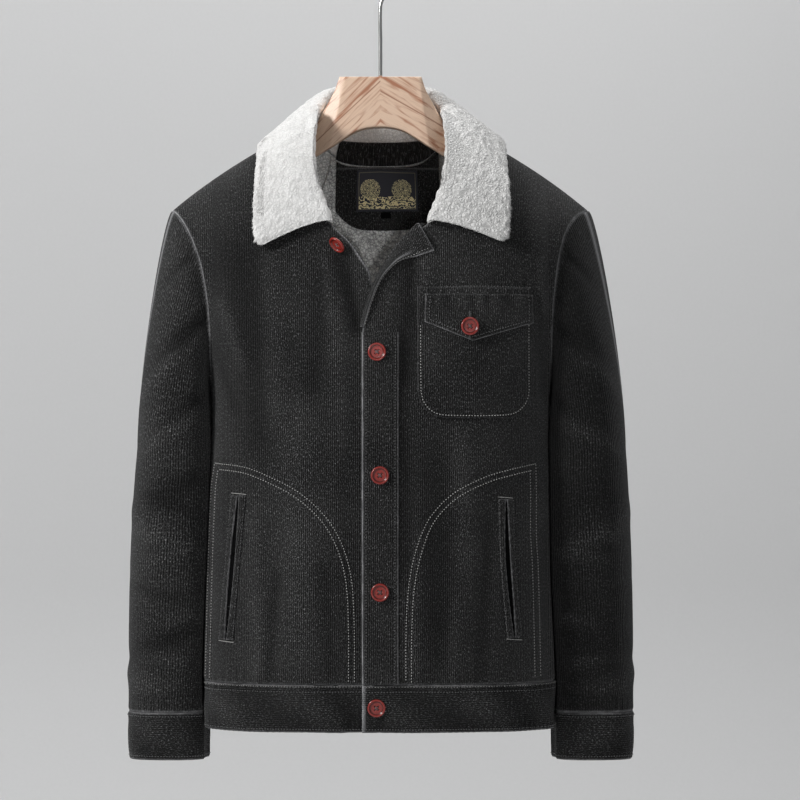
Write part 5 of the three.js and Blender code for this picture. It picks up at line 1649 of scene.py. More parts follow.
def collar_line(s, v):
    """The middle of the collar's cloth before it is lifted off the shoulders."""
    s, v = np.broadcast_arrays(s, v)
    i = (1 - np.abs(s)) * ROWS
    side = np.where(s < 0, LEFT, RIGHT)
    value = {key: read(i) for key, read in COLLAR_OF.items()}
    wing = np.where(side == RIGHT, smooth(np.abs(s) * 1.4), 0)
    face = np.where(i < len(COLLAR) / 2, FRONT, BACK)
    seam_deep = depth(side, face, value["seam_x"], value["seam_z"], -CLOTH / 2)
    sideways = smooth((4.4 - i) / 1.2)
    at_end = smooth(1 - i)
    seam = stack(side * (value["seam_x"] - SEWN_GAP * 2.2 * sideways), face * seam_deep,
                 value["seam_z"] + SEWN_GAP * (mix(1.2, 0.3, sideways) + at_end))
    roll = stack(side * value["roll_x"], value["roll_y"], value["roll_z"])
    edge = stack(side * (value["edge_x"] + RIGHT_WING["reach"] * wing), value["edge_y"],
                 value["edge_z"] + RIGHT_WING["rise"] * wing)
    # The wings' corners are round
    corner = 1 - np.sqrt(1 - clamp((np.abs(s) - TIP_START) / (1 - TIP_START)) ** 2)
    edge = edge - unit(edge - roll) * (TIP_ROUND * corner)[..., None]
    fall = edge - roll
    outward = unit(fall * np.array([1, 1, 0]))
    roundness = np.minimum(np.linalg.norm(roll - seam, axis=-1), 30)[..., None]
    stand = hermite(seam, roll - seam, roll, outward * roundness, clamp(v)[..., None])
    length = np.linalg.norm(fall, axis=-1)[..., None]
    out = outward * (np.maximum(roundness, 22) + 0.35 * length)
    fallen = hermite(roll, out, edge, fall + np.array([0, 0, -12]), clamp(v - 1)[..., None])
    return np.where((v <= 1)[..., None], stand, fallen)


def collar_half(s, v):
    sewn = mix(CLOTH / 2, COLLAR_THICK / 2, smooth(v / 0.5))
    edge = np.sqrt(np.maximum(1 - clamp((v - 1.9) / 0.1) ** 2, 0.06))
    end = np.sqrt(np.maximum(1 - clamp((np.abs(s) - 0.965) / 0.035) ** 2, 0.06))
    return sewn * edge * end


def collar_point(s, v):
    s, v = np.broadcast_arrays(s, v)
    return lift_off(collar_line(s, v), (collar_half(s, v) + 0.7) * smooth((v - 0.3) / 0.4))


def collar_normal(s, v, step=0.01):
    around = collar_point(np.minimum(s + step, 1), v) - collar_point(np.maximum(s - step, -1), v)
    over = collar_point(s, np.minimum(v + step, 2)) - collar_point(s, np.maximum(v - step, 0))
    return unit(np.cross(over, around))


# Blender's noise draws anew in each run unless it is given a seed
NOISE_SEED = 1


def curl_relief(points, size, seed):
    """Domes of curled fleece: height from 0 to 1, and how deep each point lies between them."""
    noise.seed_set(NOISE_SEED)
    high = []
    for place in map(Vector, points.reshape(-1, 3)):
        bent = place / size + 0.55 * noise.noise_vector(place / (size * 0.8)) + Vector((seed, 0, 0))
        high.append(1 - min(noise.voronoi(bent)[0][0] / 0.62, 1.0) ** 2)
    return np.array(high).reshape(points.shape[:-1])


def soften(high):
    """Evens out a grid of heights a little."""
    out = high.copy()
    out[1:-1, 1:-1] = (2 * high[1:-1, 1:-1] + high[2:, 1:-1] + high[:-2, 1:-1] + high[1:-1, 2:]
                       + high[1:-1, :-2]) / 6
    return out


COLLAR_ROWS = 393
CURL_HEIGHT = {LEFT: 1.8, RIGHT: 2.6}
# Soft dents in the wings: where along the collar, where across it, and how deep
COLLAR_DENTS = table("s v along across high", [
    (0.83, 1.45, 0.05, 0.22, -2.6),
    (0.72, 1.6, 0.05, 0.2, 2.0),
    (0.9, 1.75, 0.04, 0.18, 1.6),
    (-0.8, 1.5, 0.08, 0.3, -1.3),
    (-0.62, 1.4, 0.07, 0.25, 1.5),
    (0.3, 1.5, 0.08, 0.25, -1.6),
    (-0.2, 1.45, 0.08, 0.25, 1.4),
])


class JACKET_OT_collar(bpy.types.Operator):
    """Adds the sherpa collar, curled all over, with stray fibres round it"""

    bl_idname = "jacket.collar"
    bl_label = "Collar"

    def execute(self, context):
        s = np.linspace(-1, 1, COLLAR_ROWS)[:, None]
        v = np.concatenate([np.linspace(0, 1, 28)[:-1], np.linspace(1, 1.9, 50)[:-1],
                            1.9 + 0.1 * np.sin(np.linspace(0, 1, 13) * math.pi / 2)])[None, :]
        centre = collar_point(s, v)
        normals = collar_normal(s, v)
        half = collar_half(s, v)
        dents = sum(d["high"] * np.exp(-((s - d["s"]) / d["along"]) ** 2 - ((v - d["v"]) / d["across"]) ** 2)
                    for d in COLLAR_DENTS)
        # Tufts that stand out past the edge and make it uneven
        rng = np.random.default_rng(3)
        tuft = rng.normal(0, 1.1, COLLAR_ROWS + 2)
        tuft = ((tuft[:-2] + 2 * tuft[1:-1] + tuft[2:]) / 4)[:, None, None]
        over = unit(centre[:, -1:] - centre[:, -12:-11])
        centre = centre + over * tuft * smooth((v - 1.75) / 0.2)[..., None]
        pieces = []
        for way in (1, -1):
            grid = centre + normals * (way * half)[..., None]
            high = soften(soften(curl_relief(grid, sizes().curl_size, 3.1 if way > 0 else 8.7)))
            sewn = smooth((v - 0.06) / 0.12)
            curled = mix(CURL_HEIGHT[LEFT], CURL_HEIGHT[RIGHT], smooth(s * 2 + 0.5))
            shift = curled * (high - 0.55) * sewn
            if way > 0:
                shift = shift + dents * smooth((v - 1.1) * 4)
            grid = grid + normals * (way * (shift if way > 0 else shift * 0.8))[..., None]
            clear = 0.9 + (2 * half if way > 0 else 0 * half)
            grid = np.where((v > 0.7)[..., None], lift_off(grid, clear), grid)
            pieces.append((grid, 1 - high))
        top, under = pieces
        rows, columns = centre.shape[:2]
        index = np.arange(rows * columns).reshape(rows, columns)
        other = index + rows * columns
        loop = np.concatenate([index, other[:, ::-1]], axis=1)
        faces = grid_faces(loop, wraps=True)
        faces += grid_faces(np.stack([index[0], other[0]]))
        faces += grid_faces(np.stack([index[-1], other[-1]]), flip=True)
        points = np.concatenate([top[0].reshape(-1, 3), under[0].reshape(-1, 3)])
        # Each point's depth between the curls, for painted shade
        hollow = np.concatenate([top[1].ravel(), under[1].ravel()])
        combed = np.broadcast_to(1 - smooth(s * 2 + 0.6), centre.shape[:2])
        obj = add_mesh("collar_fleece", points, faces, [sherpa()],
                       values={"hollow": hollow, "combed": np.concatenate([combed.ravel()] * 2)})
        dress(obj, "sherpa", "collar")
        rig.sheet(obj, flat=(0.62, 0.14), area=0.07, held="folded",
                 rests_on=["back_cloth", "front_left_cloth"])
        self.add_fibres(top[0], grid_normals(top[0], normals))
        return {"FINISHED"}

    def add_fibres(self, grid, normals):
        """Loose fibres that soften the collar's outline."""
        rng = np.random.default_rng(7)
        count = 24000
        rows, columns = grid.shape[:2]
        j = rng.integers(1, rows - 1, count)
        k = np.where(rng.random(count) < 0.5, rng.integers(columns - 16, columns - 1, count),
                     rng.integers(18, columns - 1, count))
        root = grid[j, k] + rng.uniform(-0.8, 0.8, (count, 3)) - normals[j, k] * 0.4
        lean = unit(normals[j, k] + rng.normal(0, 0.8, (count, 3)))
        beside = unit(np.cross(lean, rng.normal(0, 1, (count, 3))))
        other = np.cross(lean, beside)
        tip = root + lean * sizes().pile_length * rng.uniform(0.35, 0.85, count)[:, None]
        wide = 0.2
        points = np.stack([root + beside * wide, root + (other * 0.87 - beside * 0.5) * wide,
                           root - (other * 0.87 + beside * 0.5) * wide, tip], axis=1)
        sides = np.array([[0, 1, 3], [1, 2, 3], [2, 0, 3], [2, 1, 0]])
        faces = (np.arange(count)[:, None, None] * 4 + sides[None]).reshape(-1, 3).tolist()
        obj = add_mesh("collar_fibres", points.reshape(-1, 3), faces, [sherpa()])
        dress(obj, "sherpa")


LINING_LIFT = -CLOTH - 5 * SEAM
FACING_LIFT = LINING_LIFT - LINING["thick"] - 3 * SEAM
LABEL_LIFT = FACING_LIFT - FACING["thick"] - 2 * SEAM


def inside_back(x, z, lift):
    """Points inside the back, by their lift from its outer side."""
    left = on_panel(LEFT, BACK, x, z, lift)
    right = on_panel(RIGHT, BACK, x, z, lift)
    return np.where((x < 0)[..., None], left, right)


class JACKET_OT_neck(bpy.types.Operator):
    """Adds what shows inside the neck: lining, facing, band and label"""

    bl_idname = "jacket.neck"
    bl_label = "Inside the neck"

    def execute(self, context):
        self.add_lining()
        self.add_facing()
        self.add_band()
        self.add_label()
        return {"FINISHED"}

    def add_lining(self):
        t, u = grid_shares(121, 121)
        x = (2 * u - 1) * mix(LINING["top_half"], LINING["bottom_half"], smooth(t * 2))
        x_top = (2 * u - 1) * LINING["top_half"]
        z = mix(BACK_NECK_Z(np.abs(x_top)) - 2, LINING["bottom"], t)
        back_side = inside_back(x, z, LINING_LIFT)
        face = inside_back(x, z, LINING_LIFT - LINING["thick"])
        normals = grid_normals(face, np.array([0, FRONT, 0]))
        high = soften(curl_relief(face, sizes().curl_size, 5.0))
        edge = smooth(u * 12) * smooth((1 - u) * 12) * smooth(t * 9) * smooth((1 - t) * 9)
        low = smooth((FACING["bottom"] - 3 - z) / 8)
        face = face + normals * (1.9 * (high - 0.5) * edge * mix(0.15, 1.0, low))[..., None]
        grain = stack(x, z)
        # Painted shade between the lining's curls
        obj = add_shell("neck_lining_fleece", face, normals, 1.0, grain, [lining_fleece()], inner=back_side,
                        hollow=1 - high, rounding=0.0)
        dress(obj, "lining", "neck_lining")
        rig.sheet(obj, flat=(0.2, 0.21), area=0.036, held="hung", rests_on=["back_cloth"])

    def add_facing(self):
        t, u = grid_shares(61, 81)
        x = INSIDE_CENTRE_X + (2 * u - 1) * FACING["half"] + 0 * t
        rounded = 22 * np.abs(2 * u - 1) ** 4
        z = mix(BACK_NECK_Z(np.abs(x)) - 1.5, FACING["bottom"] + rounded, t)
        face = inside_back(x, z, FACING_LIFT - FACING["thick"])
        back_side = inside_back(x, z, FACING_LIFT)
        normals = grid_normals(face, np.array([0, FRONT, 0]))
        grain = stack(grain_across(x) + 31, z)
        # The seam to the band shows as a thin pale line
        wear_and_highlight = 0.4 * np.exp(-(((z - BACK_NECK[0]["z"] + 2.2) / 0.8) ** 2))
        obj = add_shell("neck_facing_cloth", face, normals, 1.0, grain, [needlecord()], inner=back_side,
                        wear_and_highlight=wear_and_highlight, rounding=0.4)
        dress(obj, "corduroy", "neck_facing")
        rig.sheet(obj, flat=(0.128, 0.1), area=0.01, held="hung", rests_on=["neck_lining_fleece"])

    def add_band(self):
        find = np.linspace(-0.45, 0.45, 900)
        x_of = np.sign(find) * COLLAR_OF["seam_x"]((1 - np.abs(find)) * ROWS)
        order = np.argsort(x_of)
        ends = [float(np.interp(INSIDE_CENTRE_X + way * STAND_BAND["half"], x_of[order], find[order]))
                for way in (-1, 1)]
        s = np.linspace(ends[0], ends[1], 97)[:, None]
        i = (1 - np.abs(s)) * ROWS
        height = STAND_BAND["tall"] / np.maximum(np.abs(COLLAR_OF["roll_z"](i) - COLLAR_OF["seam_z"](i)), 1)
        # Its upper edge is cut straight across, as far as the stand's own height allows
        tries = np.linspace(0, 1, 41)[None, :]
        levels = collar_point(s + 0 * tries, tries)[..., 2]
        level = np.array([[np.interp(STAND_BAND["level"], z, tries[0])] for z in levels])
        v = np.linspace(0.08, 1, 25)[None, :] * mix(height, level, 0.7)
        centre = collar_point(s + 0 * v, v)
        normals = collar_normal(s + 0 * v, v)
        normals = np.where((normals[..., 1] > 0)[..., None], -normals, normals)
        half = collar_half(s + 0 * v, v)[..., None]
        back_side = centre + normals * (half + 4 * SEAM)
        face = back_side + normals * STAND_BAND["thick"]
        foot = STAND_BAND["foot"] * (1 - smooth(np.arange(25) / 5))[None, :]
        back_side[..., 2] -= foot
        face[..., 2] -= foot
        grain = stack(np.linspace(0, 1, 97)[:, None] * 125, v * 40 + 0 * s)
        obj = add_shell("stand_band_cloth", face, normals, 1.0, grain, [needlecord()], inner=back_side,
                        wear_and_highlight=edge_wear_and_highlight(face, last=0.05), rounding=0.5)
        dress(obj, "corduroy", "stand_band")
        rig.sheet(obj, flat=(0.128, 0.0245), held="hung", rests_on=["collar_fleece"])

    def add_label(self):
        t, u = grid_shares(49, 73)
        x = mix(LABEL["left"], LABEL["right"], u) + 0 * t
        z = mix(LABEL["bottom"], LABEL["top"], t) + 0 * u
        swell = 0.35 * np.sin(u * 7) * np.sin(t * 5)
        back_side = inside_back(x, z, LABEL_LIFT)
        face = inside_back(x, z, LABEL_LIFT - LABEL["thick"] - swell * smooth(u * 6) * smooth((1 - u) * 6))
        normals = grid_normals(face, np.array([0, FRONT, 0]))
        grain = stack(x - LABEL["left"], z - LABEL["bottom"])
        obj = add_shell("neck_label_cloth", face, normals, 0.6, grain, [woven_label()], inner=back_side,
                        rounding=0.3)
        dress(obj, "label", "neck_label")
        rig.sheet(obj, flat=(0.0715, 0.048), held="hung", rests_on=["neck_facing_cloth"])
        tag = frame["nodes"]["size_tag"]
        # The size tag takes the same near-black cloth
        tag.data.materials.clear()
        tag.data.materials.append(painted_shade_cloth())


# Buttons

# Half a button's section: radius and height, from its back round to the rim of its face
BUTTON_SECTION = [(5, 0), (8, 0.15), (9.3, 0.6), (9.9, 1.3), (10, 1.9), (9.9, 2.6), (9.5, 3.15), (8.9, 3.4),
                  (8.2, 3.2), (7.6, 2.5), (7.1, 1.8), (6.6, 1.6)]
BUTTON_FACE = 1.75
HOLE_AT = 1.75
HOLE_R = 1.15


def button_frame(place):
    """The foot of a button and its three directions."""
    low, high = (on_panel(place["side"], FRONT, place["x"], place["z"], place["lift"] + up) for up in (0, 1))
    axis = unit(np.array(place["lean"])) if "lean" in place else unit(high - low)
    right = unit(np.cross(np.array([0, 0, 1.0]), -axis))
    return low, axis, right, np.cross(-axis, right)


class JACKET_OT_buttons(bpy.types.Operator):
    """Adds the four-holed buttons and the thread that holds them"""

    bl_idname = "jacket.buttons"
    bl_label = "Buttons"

    def execute(self, context):
        face_radii = np.linspace(6.1, 0.25, 22)
        radius = np.array([r for r, _ in BUTTON_SECTION] + list(face_radii))
        height = np.array([h for _, h in BUTTON_SECTION] + [BUTTON_FACE] * len(face_radii))
        sides = 72
        turn = np.arange(sides) * 2 * math.pi / sides
        px, py = radius[:, None] * np.cos(turn), radius[:, None] * np.sin(turn)
        top = (np.arange(len(radius)) >= len(BUTTON_SECTION))[:, None]
        gap = np.hypot(np.abs(px) - HOLE_AT, np.abs(py) - HOLE_AT)
        pit = np.where(top, smooth((HOLE_R - gap) / 0.35), 0)
        h = height[:, None] - 1.9 * pit
        # The groove round the face and the holes get painted shade
        groove = 0.75 * np.exp(-((radius - 7.0) / 0.7) ** 2) * (height > 1.4)
        hollow = np.concatenate([np.maximum(pit, groove[:, None]).ravel(), [0, 0]])
        index = np.arange(len(radius) * sides).reshape(-1, sides)
        centre_back, centre_face = index.size, index.size + 1
        faces = grid_faces(index, wraps=True)
        for i in range(sides):
            k = (i + 1) % sides
            faces.append([centre_back, int(index[0, k]), int(index[0, i])])
            faces.append([centre_face, int(index[-1, i]), int(index[-1, k])])
        for place in BUTTONS:
            low, axis, right, up = button_frame(place)
            points = low + px[..., None] * right + py[..., None] * up + h[..., None] * axis
            flat = np.concatenate([points.reshape(-1, 3), [low], [low + BUTTON_FACE * axis]])
            obj = add_mesh(f"{place['name']}_disc", flat, faces, [polyester_button()],
                           values={"hollow": hollow})
            dress(obj, "button", place["name"])
            self.add_thread(place["name"], low, axis, right, up)
        return {"FINISHED"}

    def add_thread(self, name, low, axis, right, up):
        """A cross of thread through the four holes."""
        points, faces = [], []
        for way in (-1, 1):
            for strand in (-0.28, 0.28):
                start = np.array([-HOLE_AT, -HOLE_AT * way])
                side = unit(np.array([way, 1.0])) * strand
                path = []
                for t in np.linspace(0, 1, 9):
                    flat = start * (1 - 2 * t) + side * np.array([1, -1 if way > 0 else 1])
                    rise = 0.9 + 1.4 * math.sin(math.pi * t) ** 0.5
                    path.append(low + flat[0] * right + flat[1] * up + rise * axis)
                add_tube(points, faces, np.array(path), 0.27, 6)
        obj = add_mesh(f"{name}_thread", np.array(points), faces, [thread(False)])
        dress(obj, "button")


def add_tube(points, faces, path, radius, sides):
    """Appends a closed tube along a path."""
    run = unit(np.gradient(path, axis=0))
    guide = np.array([0.13, 0.41, 0.9])
    first = unit(np.cross(run, guide))
    second = np.cross(run, first)
    turn = np.arange(sides) * 2 * math.pi / sides
    rings = (path[:, None] + radius * (np.cos(turn)[None, :, None] * first[:, None]
                                       + np.sin(turn)[None, :, None] * second[:, None]))
    base = len(points)
    points.extend(rings.reshape(-1, 3).tolist())
    index = base + np.arange(len(path) * sides).reshape(len(path), sides)
    faces.extend(grid_faces(index, wraps=True, flip=True))
    faces.append([int(i) for i in index[0]])
    faces.append([int(i) for i in index[-1][::-1]])


# Stitching

def evenly(points, normals, pitch):
    """Places, directions and normals at an even pitch along a row of points."""
    points, normals = np.asarray(points), np.asarray(normals)
    at = run_along(points)
    t = np.arange(pitch / 2, at[-1], pitch)

    def read(values, t):
        return stack(*(np.interp(t, at, values[:, i]) for i in range(3)))

    return read(points, t), unit(read(points, t + 0.6) - read(points, t - 0.6)), unit(read(normals, t))


def stitch_points(place, run, out, length, radius):
    """Each stitch: a thin spindle, proud in its middle, with its ends drawn into the cloth."""
    beside = unit(np.cross(run, out))
    rings = []
    for along, grow in ((-0.5, 0.25), (-0.28, 0.9), (0.28, 0.9), (0.5, 0.25)):
        rise = radius * (0.75 if abs(along) < 0.4 else -0.1)
        middle = place + run * along * length + out * rise
        ring = [middle + radius * grow * (math.cos(a) * beside + math.sin(a) * out)
                for a in (0.3, 1.57, 2.84, 4.71)]
        rings.append(np.stack(ring, axis=1))
    return np.concatenate(rings, axis=1)


def add_stitches(name, rows, bright, pitch=STITCH_PITCH, length=STITCH_LENGTH, radius=THREAD_R):
    """Adds rows of stitches as one mesh: each row is points along it and the cloth's normals there."""
    points = []
    for path, normals in rows:
        place, run, out = evenly(path, normals, pitch)
        if len(place):
            points.append(stitch_points(place, run, out, length, radius))
    points = np.concatenate(points)
    base = np.arange(len(points))[:, None, None] * 16
    quads = [[4 * r + a, 4 * r + (a + 1) % 4, 4 * r + 4 + (a + 1) % 4, 4 * r + 4 + a]
             for r in range(3) for a in range(4)] + [[3, 2, 1, 0], [12, 13, 14, 15]]
    faces = (base + np.array(quads)[None]).reshape(-1, 4).tolist()
    obj = add_mesh(name, points.reshape(-1, 3), faces, [thread(bright)])
    dress(obj, "lining")
    return obj


def panel_row(side, face, path, lift):
    points = on_panel(side, face, path[:, 0], path[:, 1], lift)
    above = on_panel(side, face, path[:, 0], path[:, 1], lift + 1)
    return points, unit(above - points)


def grid_row(grid, row, lift=0.05):
    points, out = (side[row] for side in grid)
    return points + out * lift, out


class JACKET_OT_stitching(bpy.types.Operator):
    """Adds the rows of topstitching"""

    bl_idname = "jacket.stitching"
    bl_label = "Stitching"

    def execute(self, context):
        for bright in (True, False):
            rows = [panel_row(row["side"], FRONT, smooth_path(row["points"], offset)[3 if offset else 0:],
                              row["lift"] + 0.12)
                    for row in SEWN if row["bright"] == bright for offset in row["offsets"]]
            add_stitches("fronts_topstitching" if bright else "fronts_toned_stitching", rows, bright)
        self.add_flap_rows()
        self.add_band_rows()
        self.add_bars()
        return {"FINISHED"}

    def add_flap_rows(self):
        path = straight_path(flap_outline(4.6))
        hang = (FLAP["top"] - path[:, 1]) / (FLAP["top"] - FLAP["point"])
        lift = FLAP_LIFT + FLAP_HANG * hang ** 2 + FLAP["thick"] + 0.12
        rows = [panel_row(RIGHT, FRONT, path, lift)]
        add_stitches("flap_stitching", rows, False)

    def add_band_rows(self):
        band = SEWN_GRIDS["band"]
        bright = [grid_row(band, 1)]
        toned = [grid_row(band, row) for row in (4, 26)]
        for side in (LEFT, RIGHT):
            for row in (2, 22):
                points, out = grid_row(SEWN_GRIDS["cuff", side], row)
                toned.append((np.concatenate([points, points[:1]]), np.concatenate([out, out[:1]])))
        lapel, out = (grid[2:-2, -5] for grid in SEWN_GRIDS["lapel"])
        bright.append((lapel + out * 0.1, out))
        add_stitches("band_topstitching", bright, True, radius=0.3)
        add_stitches("band_toned_stitching", toned, False)

    def add_bars(self):
        """Bartacks at the pocket's corners and the side pockets' ends, and the buttonholes."""
        bars = []
        for side in (LEFT, RIGHT):
            slit, top, end = pocket_slit(side)
            for z in (top + 2, end - 2):
                x = float(slit(z))
                bars.append((side, [(x - 8, z + 0.8), (x + 8, z - 0.6)], 0.35))
        bars.append((RIGHT, [(165, -382), (165, -389)], 0.4))
        rows = [panel_row(side, FRONT, straight_path(ends), lift) for side, ends, lift in bars]
        add_stitches("bartacks", rows, True, pitch=0.8, length=2.4, radius=0.42)
        hole_x, hole_top, hole_end = 97.4, -409, -440
        rows = [panel_row(RIGHT, FRONT, straight_path([(hole_x + way, hole_top), (hole_x + way, hole_end)]),
                          FLAP_LIFT + FLAP["thick"] + FLAP_HANG * 0.9) for way in (-0.5, 0.5)]
        add_stitches("buttonhole", rows, False, pitch=0.9, length=1.0, radius=0.4)


# Hanger and hook

class JACKET_OT_hanger(bpy.types.Operator):
    """Gives the wooden hanger its finish and adds its wire hook"""

    bl_idname = "jacket.hanger"
    bl_label = "Hanger"

    def execute(self, context):
        self.add_wood()
        self.add_wire()
        return {"FINISHED"}

    def add_wood(self):
        """One board: a flat front with a slanting facet at either end, and rounded arms."""
        arm = []
        for x in np.linspace(ARM["start"], ARM["end"], ARM["stations"]):
            t = (x - ARM["start"]) / (ARM["end"] - ARM["start"])
            top = float(crest(x)) - CLOTH - ARM["clear"]
            arm.append(dict(x=x, top=top, bottom=top - mix(ARM["tall_at_neck"], ARM["tall_at_end"], t),
                            deep=ARM["deep"]))
        rows = [*HANGER, *arm]
        half = np.unique(np.concatenate([np.linspace(0, 84, 57), [46, 51, 61.5, 72],
                                         np.linspace(84, 206, 25)]))
        xs = np.concatenate([-half[:0:-1], half])
        out = np.abs(xs)
        at = [row["x"] for row in rows]
        top = np.interp(out, at, [row["top"] for row in rows])
        mirrored = [dict(rows[1], x=-rows[1]["x"]), *rows]
        bottom = curve(mirrored, "x", "bottom")(out)
        deep = np.interp(out, at, [row["deep"] for row in rows])
        soft = np.clip((out - 50) / 30, 0.2, 1)
        side = np.where(xs < 0, LEFT, RIGHT)
        edge_x = np.where(side == LEFT, FACET[LEFT]["x"], FACET[RIGHT]["x"])
        slant = np.where(side == LEFT, FACET[LEFT]["slant"], FACET[RIGHT]["slant"])
        fade = smooth((86 - out) / 10)

        def front_y(z):
            past = np.maximum(out - edge_x - slant * (HANGER_TOP_Z - z), 0)
            return -deep + np.minimum(FACET_SLOPE * past, 8) * fade

        tall = 22
        levels = [(0.0 * out - 2, top), (front_y(top) + 3 * soft, top - 0.4 * soft * 10)]
        for t in np.linspace(0, 1, tall):
            z = mix(top - 9 * soft, bottom + 5 * soft, t)
            levels.append((front_y(z), z))
        levels.append((front_y(bottom) + 4 * soft, bottom))
        levels += [(deep - 4 * soft, bottom), (deep, bottom + 5 * soft), (deep, top - 9 * soft),
                   (deep - 3 * soft, top - 4 * soft), (0.0 * out + 2, top)]
        points = np.stack([stack(xs, y, z) for y, z in levels], axis=1)
        index = np.arange(points.shape[0] * points.shape[1]).reshape(points.shape[:2])
        faces = grid_faces(index, wraps=True)
        faces.append([int(i) for i in index[0][::-1]])
        faces.append([int(i) for i in index[-1]])
        obj = add_mesh("hanger_wood", points.reshape(-1, 3), faces, [lacquered_ash()])
        dress(obj, "wood", "hanger")

    def add_wire(self):
        crown = WIRE_R - HOOK_R
        arc = [(HOOK_R * math.cos(a), 0, crown + HOOK_R * math.sin(a))
               for a in np.radians(np.linspace(-12, 205, 60))]
        base = HANGER_TOP_Z + SEAM
        stem = [(0, 0, base), (0, 0, mix(base, SHANK_TOP_Z, 0.5)), (0, 0, SHANK_TOP_Z),
                (4, 0, SHANK_TOP_Z + 12), (14, 0, SHANK_TOP_Z + 25)]
        rows = np.array(stem + arc[::6] + [arc[-1]], float)
        at = run_along(rows)
        table = [dict(at=a, x=p[0], z=p[2]) for a, p in zip(at, rows)]
        t = np.linspace(0, at[-1], 150)
        path = np.stack([curve(table, "at", "x")(t), 0 * t, curve(table, "at", "z")(t)], axis=1)
        points, faces = [], []
        add_tube(points, faces, path, WIRE_R, 16)
        obj = add_mesh("hook_wire", np.array(points), faces, [drawn_wire()])
        dress(obj, "steel", "hook")


# Floor, wall, lights and camera

FLOOR_Z = -1.28
WALL_Y = 1.5
CAMERA_AWAY = 4.2
FRONT_Y = -0.095
CAMERA_PLACE = (0.022, FRONT_Y - CAMERA_AWAY, -0.5064)
FRAME_WIDTH = 0.880
SENSOR = 36.0
# Name, kind, place, what it is turned to, power and shape; the last one lights the neck
MIDDLE = (0.0, 0.0, -0.5)
LIGHTS = [
    ("key", "AREA", (-2.1, -1.35, 0.8), MIDDLE, 62, dict(size=0.7)),
    ("fill", "AREA", (0.9, -3.0, -0.9), MIDDLE, 9, dict(size=1.2)),
    ("top", "AREA", (0.5, 0.5, 1.3), MIDDLE, 16, dict(size=0.8)),
    ("wall", "AREA", (0.0, 0.55, 1.6), (0.0, WALL_Y, -0.6), 10, dict(size=1.4)),
    ("neck", "SPOT", (0.1, -2.5, -0.62), (0.005, 0.06, -0.355), 230,
     dict(spot_size=math.radians(2.6), spot_blend=1.0, shadow_soft_size=0.1)),
]


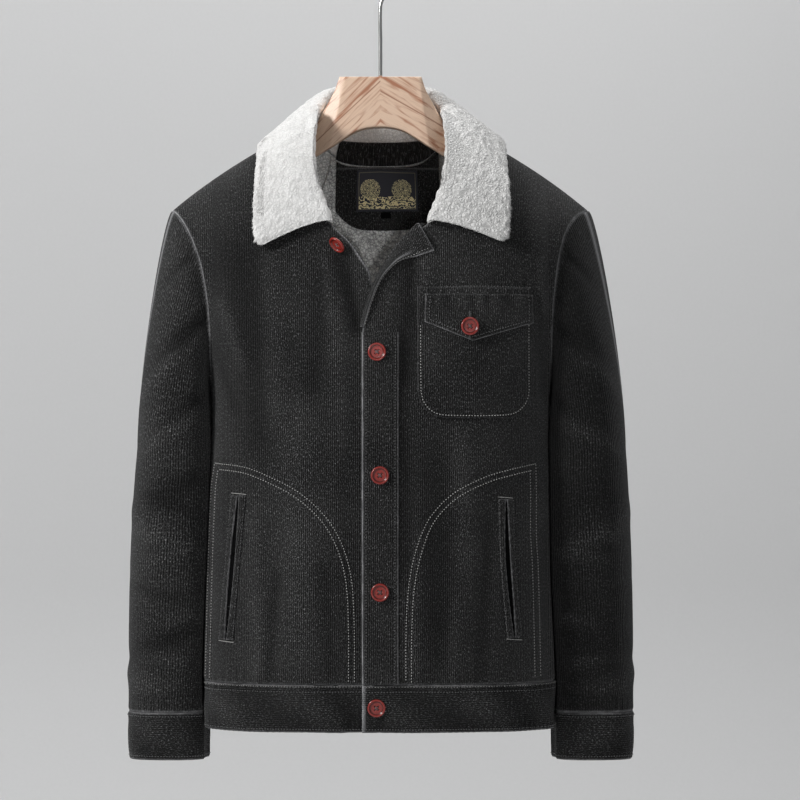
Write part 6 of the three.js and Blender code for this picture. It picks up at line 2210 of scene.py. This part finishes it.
class JACKET_OT_stage(bpy.types.Operator):
    """Adds the pale floor and wall, the soft lights and the camera"""

    bl_idname = "jacket.stage"
    bl_label = "Stage"

    def execute(self, context):
        self.add_backdrop()
        self.add_lights()
        self.add_camera(context)
        return {"FINISHED"}

    def add_backdrop(self):
        bend = 0.5
        profile = [(-6.0, FLOOR_Z), (WALL_Y - bend, FLOOR_Z)]
        profile += [(WALL_Y - bend + bend * math.sin(a), FLOOR_Z + bend - bend * math.cos(a))
                    for a in np.radians(np.linspace(8, 90, 12))]
        profile.append((WALL_Y, 3.0))
        points = [(x, y, z) for y, z in profile for x in (-6, 6)]
        faces = [[2 * i, 2 * i + 1, 2 * i + 3, 2 * i + 2] for i in range(len(profile) - 1)]
        paper = backdrop_paper()
        # The paper shows from its front only, so that the jacket can be seen from behind too
        n = Nodes(paper.node_tree)
        ends = {node.bl_idname: node for node in paper.node_tree.nodes}
        seen = n.add("MixShader", {0: n.add("NewGeometry", out="Backfacing"),
                                   1: ends["ShaderNodeBsdfPrincipled"].outputs[0],
                                   2: n.add("BsdfTransparent")})
        n.tree.links.new(seen, ends["ShaderNodeOutputMaterial"].inputs["Surface"])
        sweep = add_mesh("backdrop", np.array(points) / MM, faces, [paper])
        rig.stage(sweep)

    def add_lights(self):
        for name, kind, place, aim, power, shape in LIGHTS:
            data = bpy.data.lights.new(name, kind)
            data.energy = power
            for key, value in shape.items():
                setattr(data, key, value)
            light = bpy.data.objects.new(name, data)
            light.location = place
            light.rotation_euler = (Vector(aim) - light.location).to_track_quat("-Z", "Y").to_euler()
            bpy.context.scene.collection.objects.link(light)
        world = bpy.data.worlds.new("soft_room")
        world.use_nodes = True
        world.node_tree.nodes["Background"].inputs["Color"].default_value = linear("#dfe1e4")
        world.node_tree.nodes["Background"].inputs["Strength"].default_value = 0.3
        bpy.context.scene.world = world

    def add_camera(self, context):
        data = bpy.data.cameras.new("camera")
        data.sensor_width = SENSOR
        data.lens = SENSOR * CAMERA_AWAY / FRAME_WIDTH
        data.clip_end = 40.0
        camera = bpy.data.objects.new("camera", data)
        camera.location = CAMERA_PLACE
        camera.rotation_euler = (math.pi / 2, 0, 0)
        context.scene.collection.objects.link(camera)
        context.scene.camera = camera
        context.scene.view_settings.view_transform = "Standard"


class JACKET_PT_panel(bpy.types.Panel):
    """Lists the jacket's sizes, colours and pieces"""

    bl_idname = "JACKET_PT_panel"
    bl_label = "Sherpa Lined Jacket"
    bl_space_type = "VIEW_3D"
    bl_region_type = "UI"
    bl_category = "Jacket"

    def draw(self, context):
        for group in (sizes(), colours()):
            for key in group.__annotations__:
                self.layout.prop(group, key)
        for operator in OPERATORS:
            self.layout.operator(operator.bl_idname)


OPERATORS = (
    JACKET_OT_stage, JACKET_OT_fronts, JACKET_OT_back, JACKET_OT_sleeves, JACKET_OT_cuffs,
    JACKET_OT_waistband, JACKET_OT_closure, JACKET_OT_chest_pocket, JACKET_OT_side_pockets,
    JACKET_OT_collar, JACKET_OT_neck, JACKET_OT_buttons, JACKET_OT_stitching, JACKET_OT_hanger,
)
CLASSES = (JacketSizes, JacketColours, *OPERATORS, JACKET_PT_panel)


def register():
    for cls in CLASSES:
        bpy.utils.register_class(cls)
    bpy.types.Scene.jacket_sizes = bpy.props.PointerProperty(type=JacketSizes)
    bpy.types.Scene.jacket_colours = bpy.props.PointerProperty(type=JacketColours)


def unregister():
    del bpy.types.Scene.jacket_colours
    del bpy.types.Scene.jacket_sizes
    for cls in reversed(CLASSES):
        bpy.utils.unregister_class(cls)


def main():
    register()
    for operator in OPERATORS:
        name = operator.bl_idname.split(".")[1]
        getattr(bpy.ops.jacket, name)()
    with open("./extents.json", "w") as out:
        json.dump({"cad": [list(p) for p in CAD_BOX], "visual": [list(p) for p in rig.bounds()]}, out)


if __name__ == "__main__":
    main()
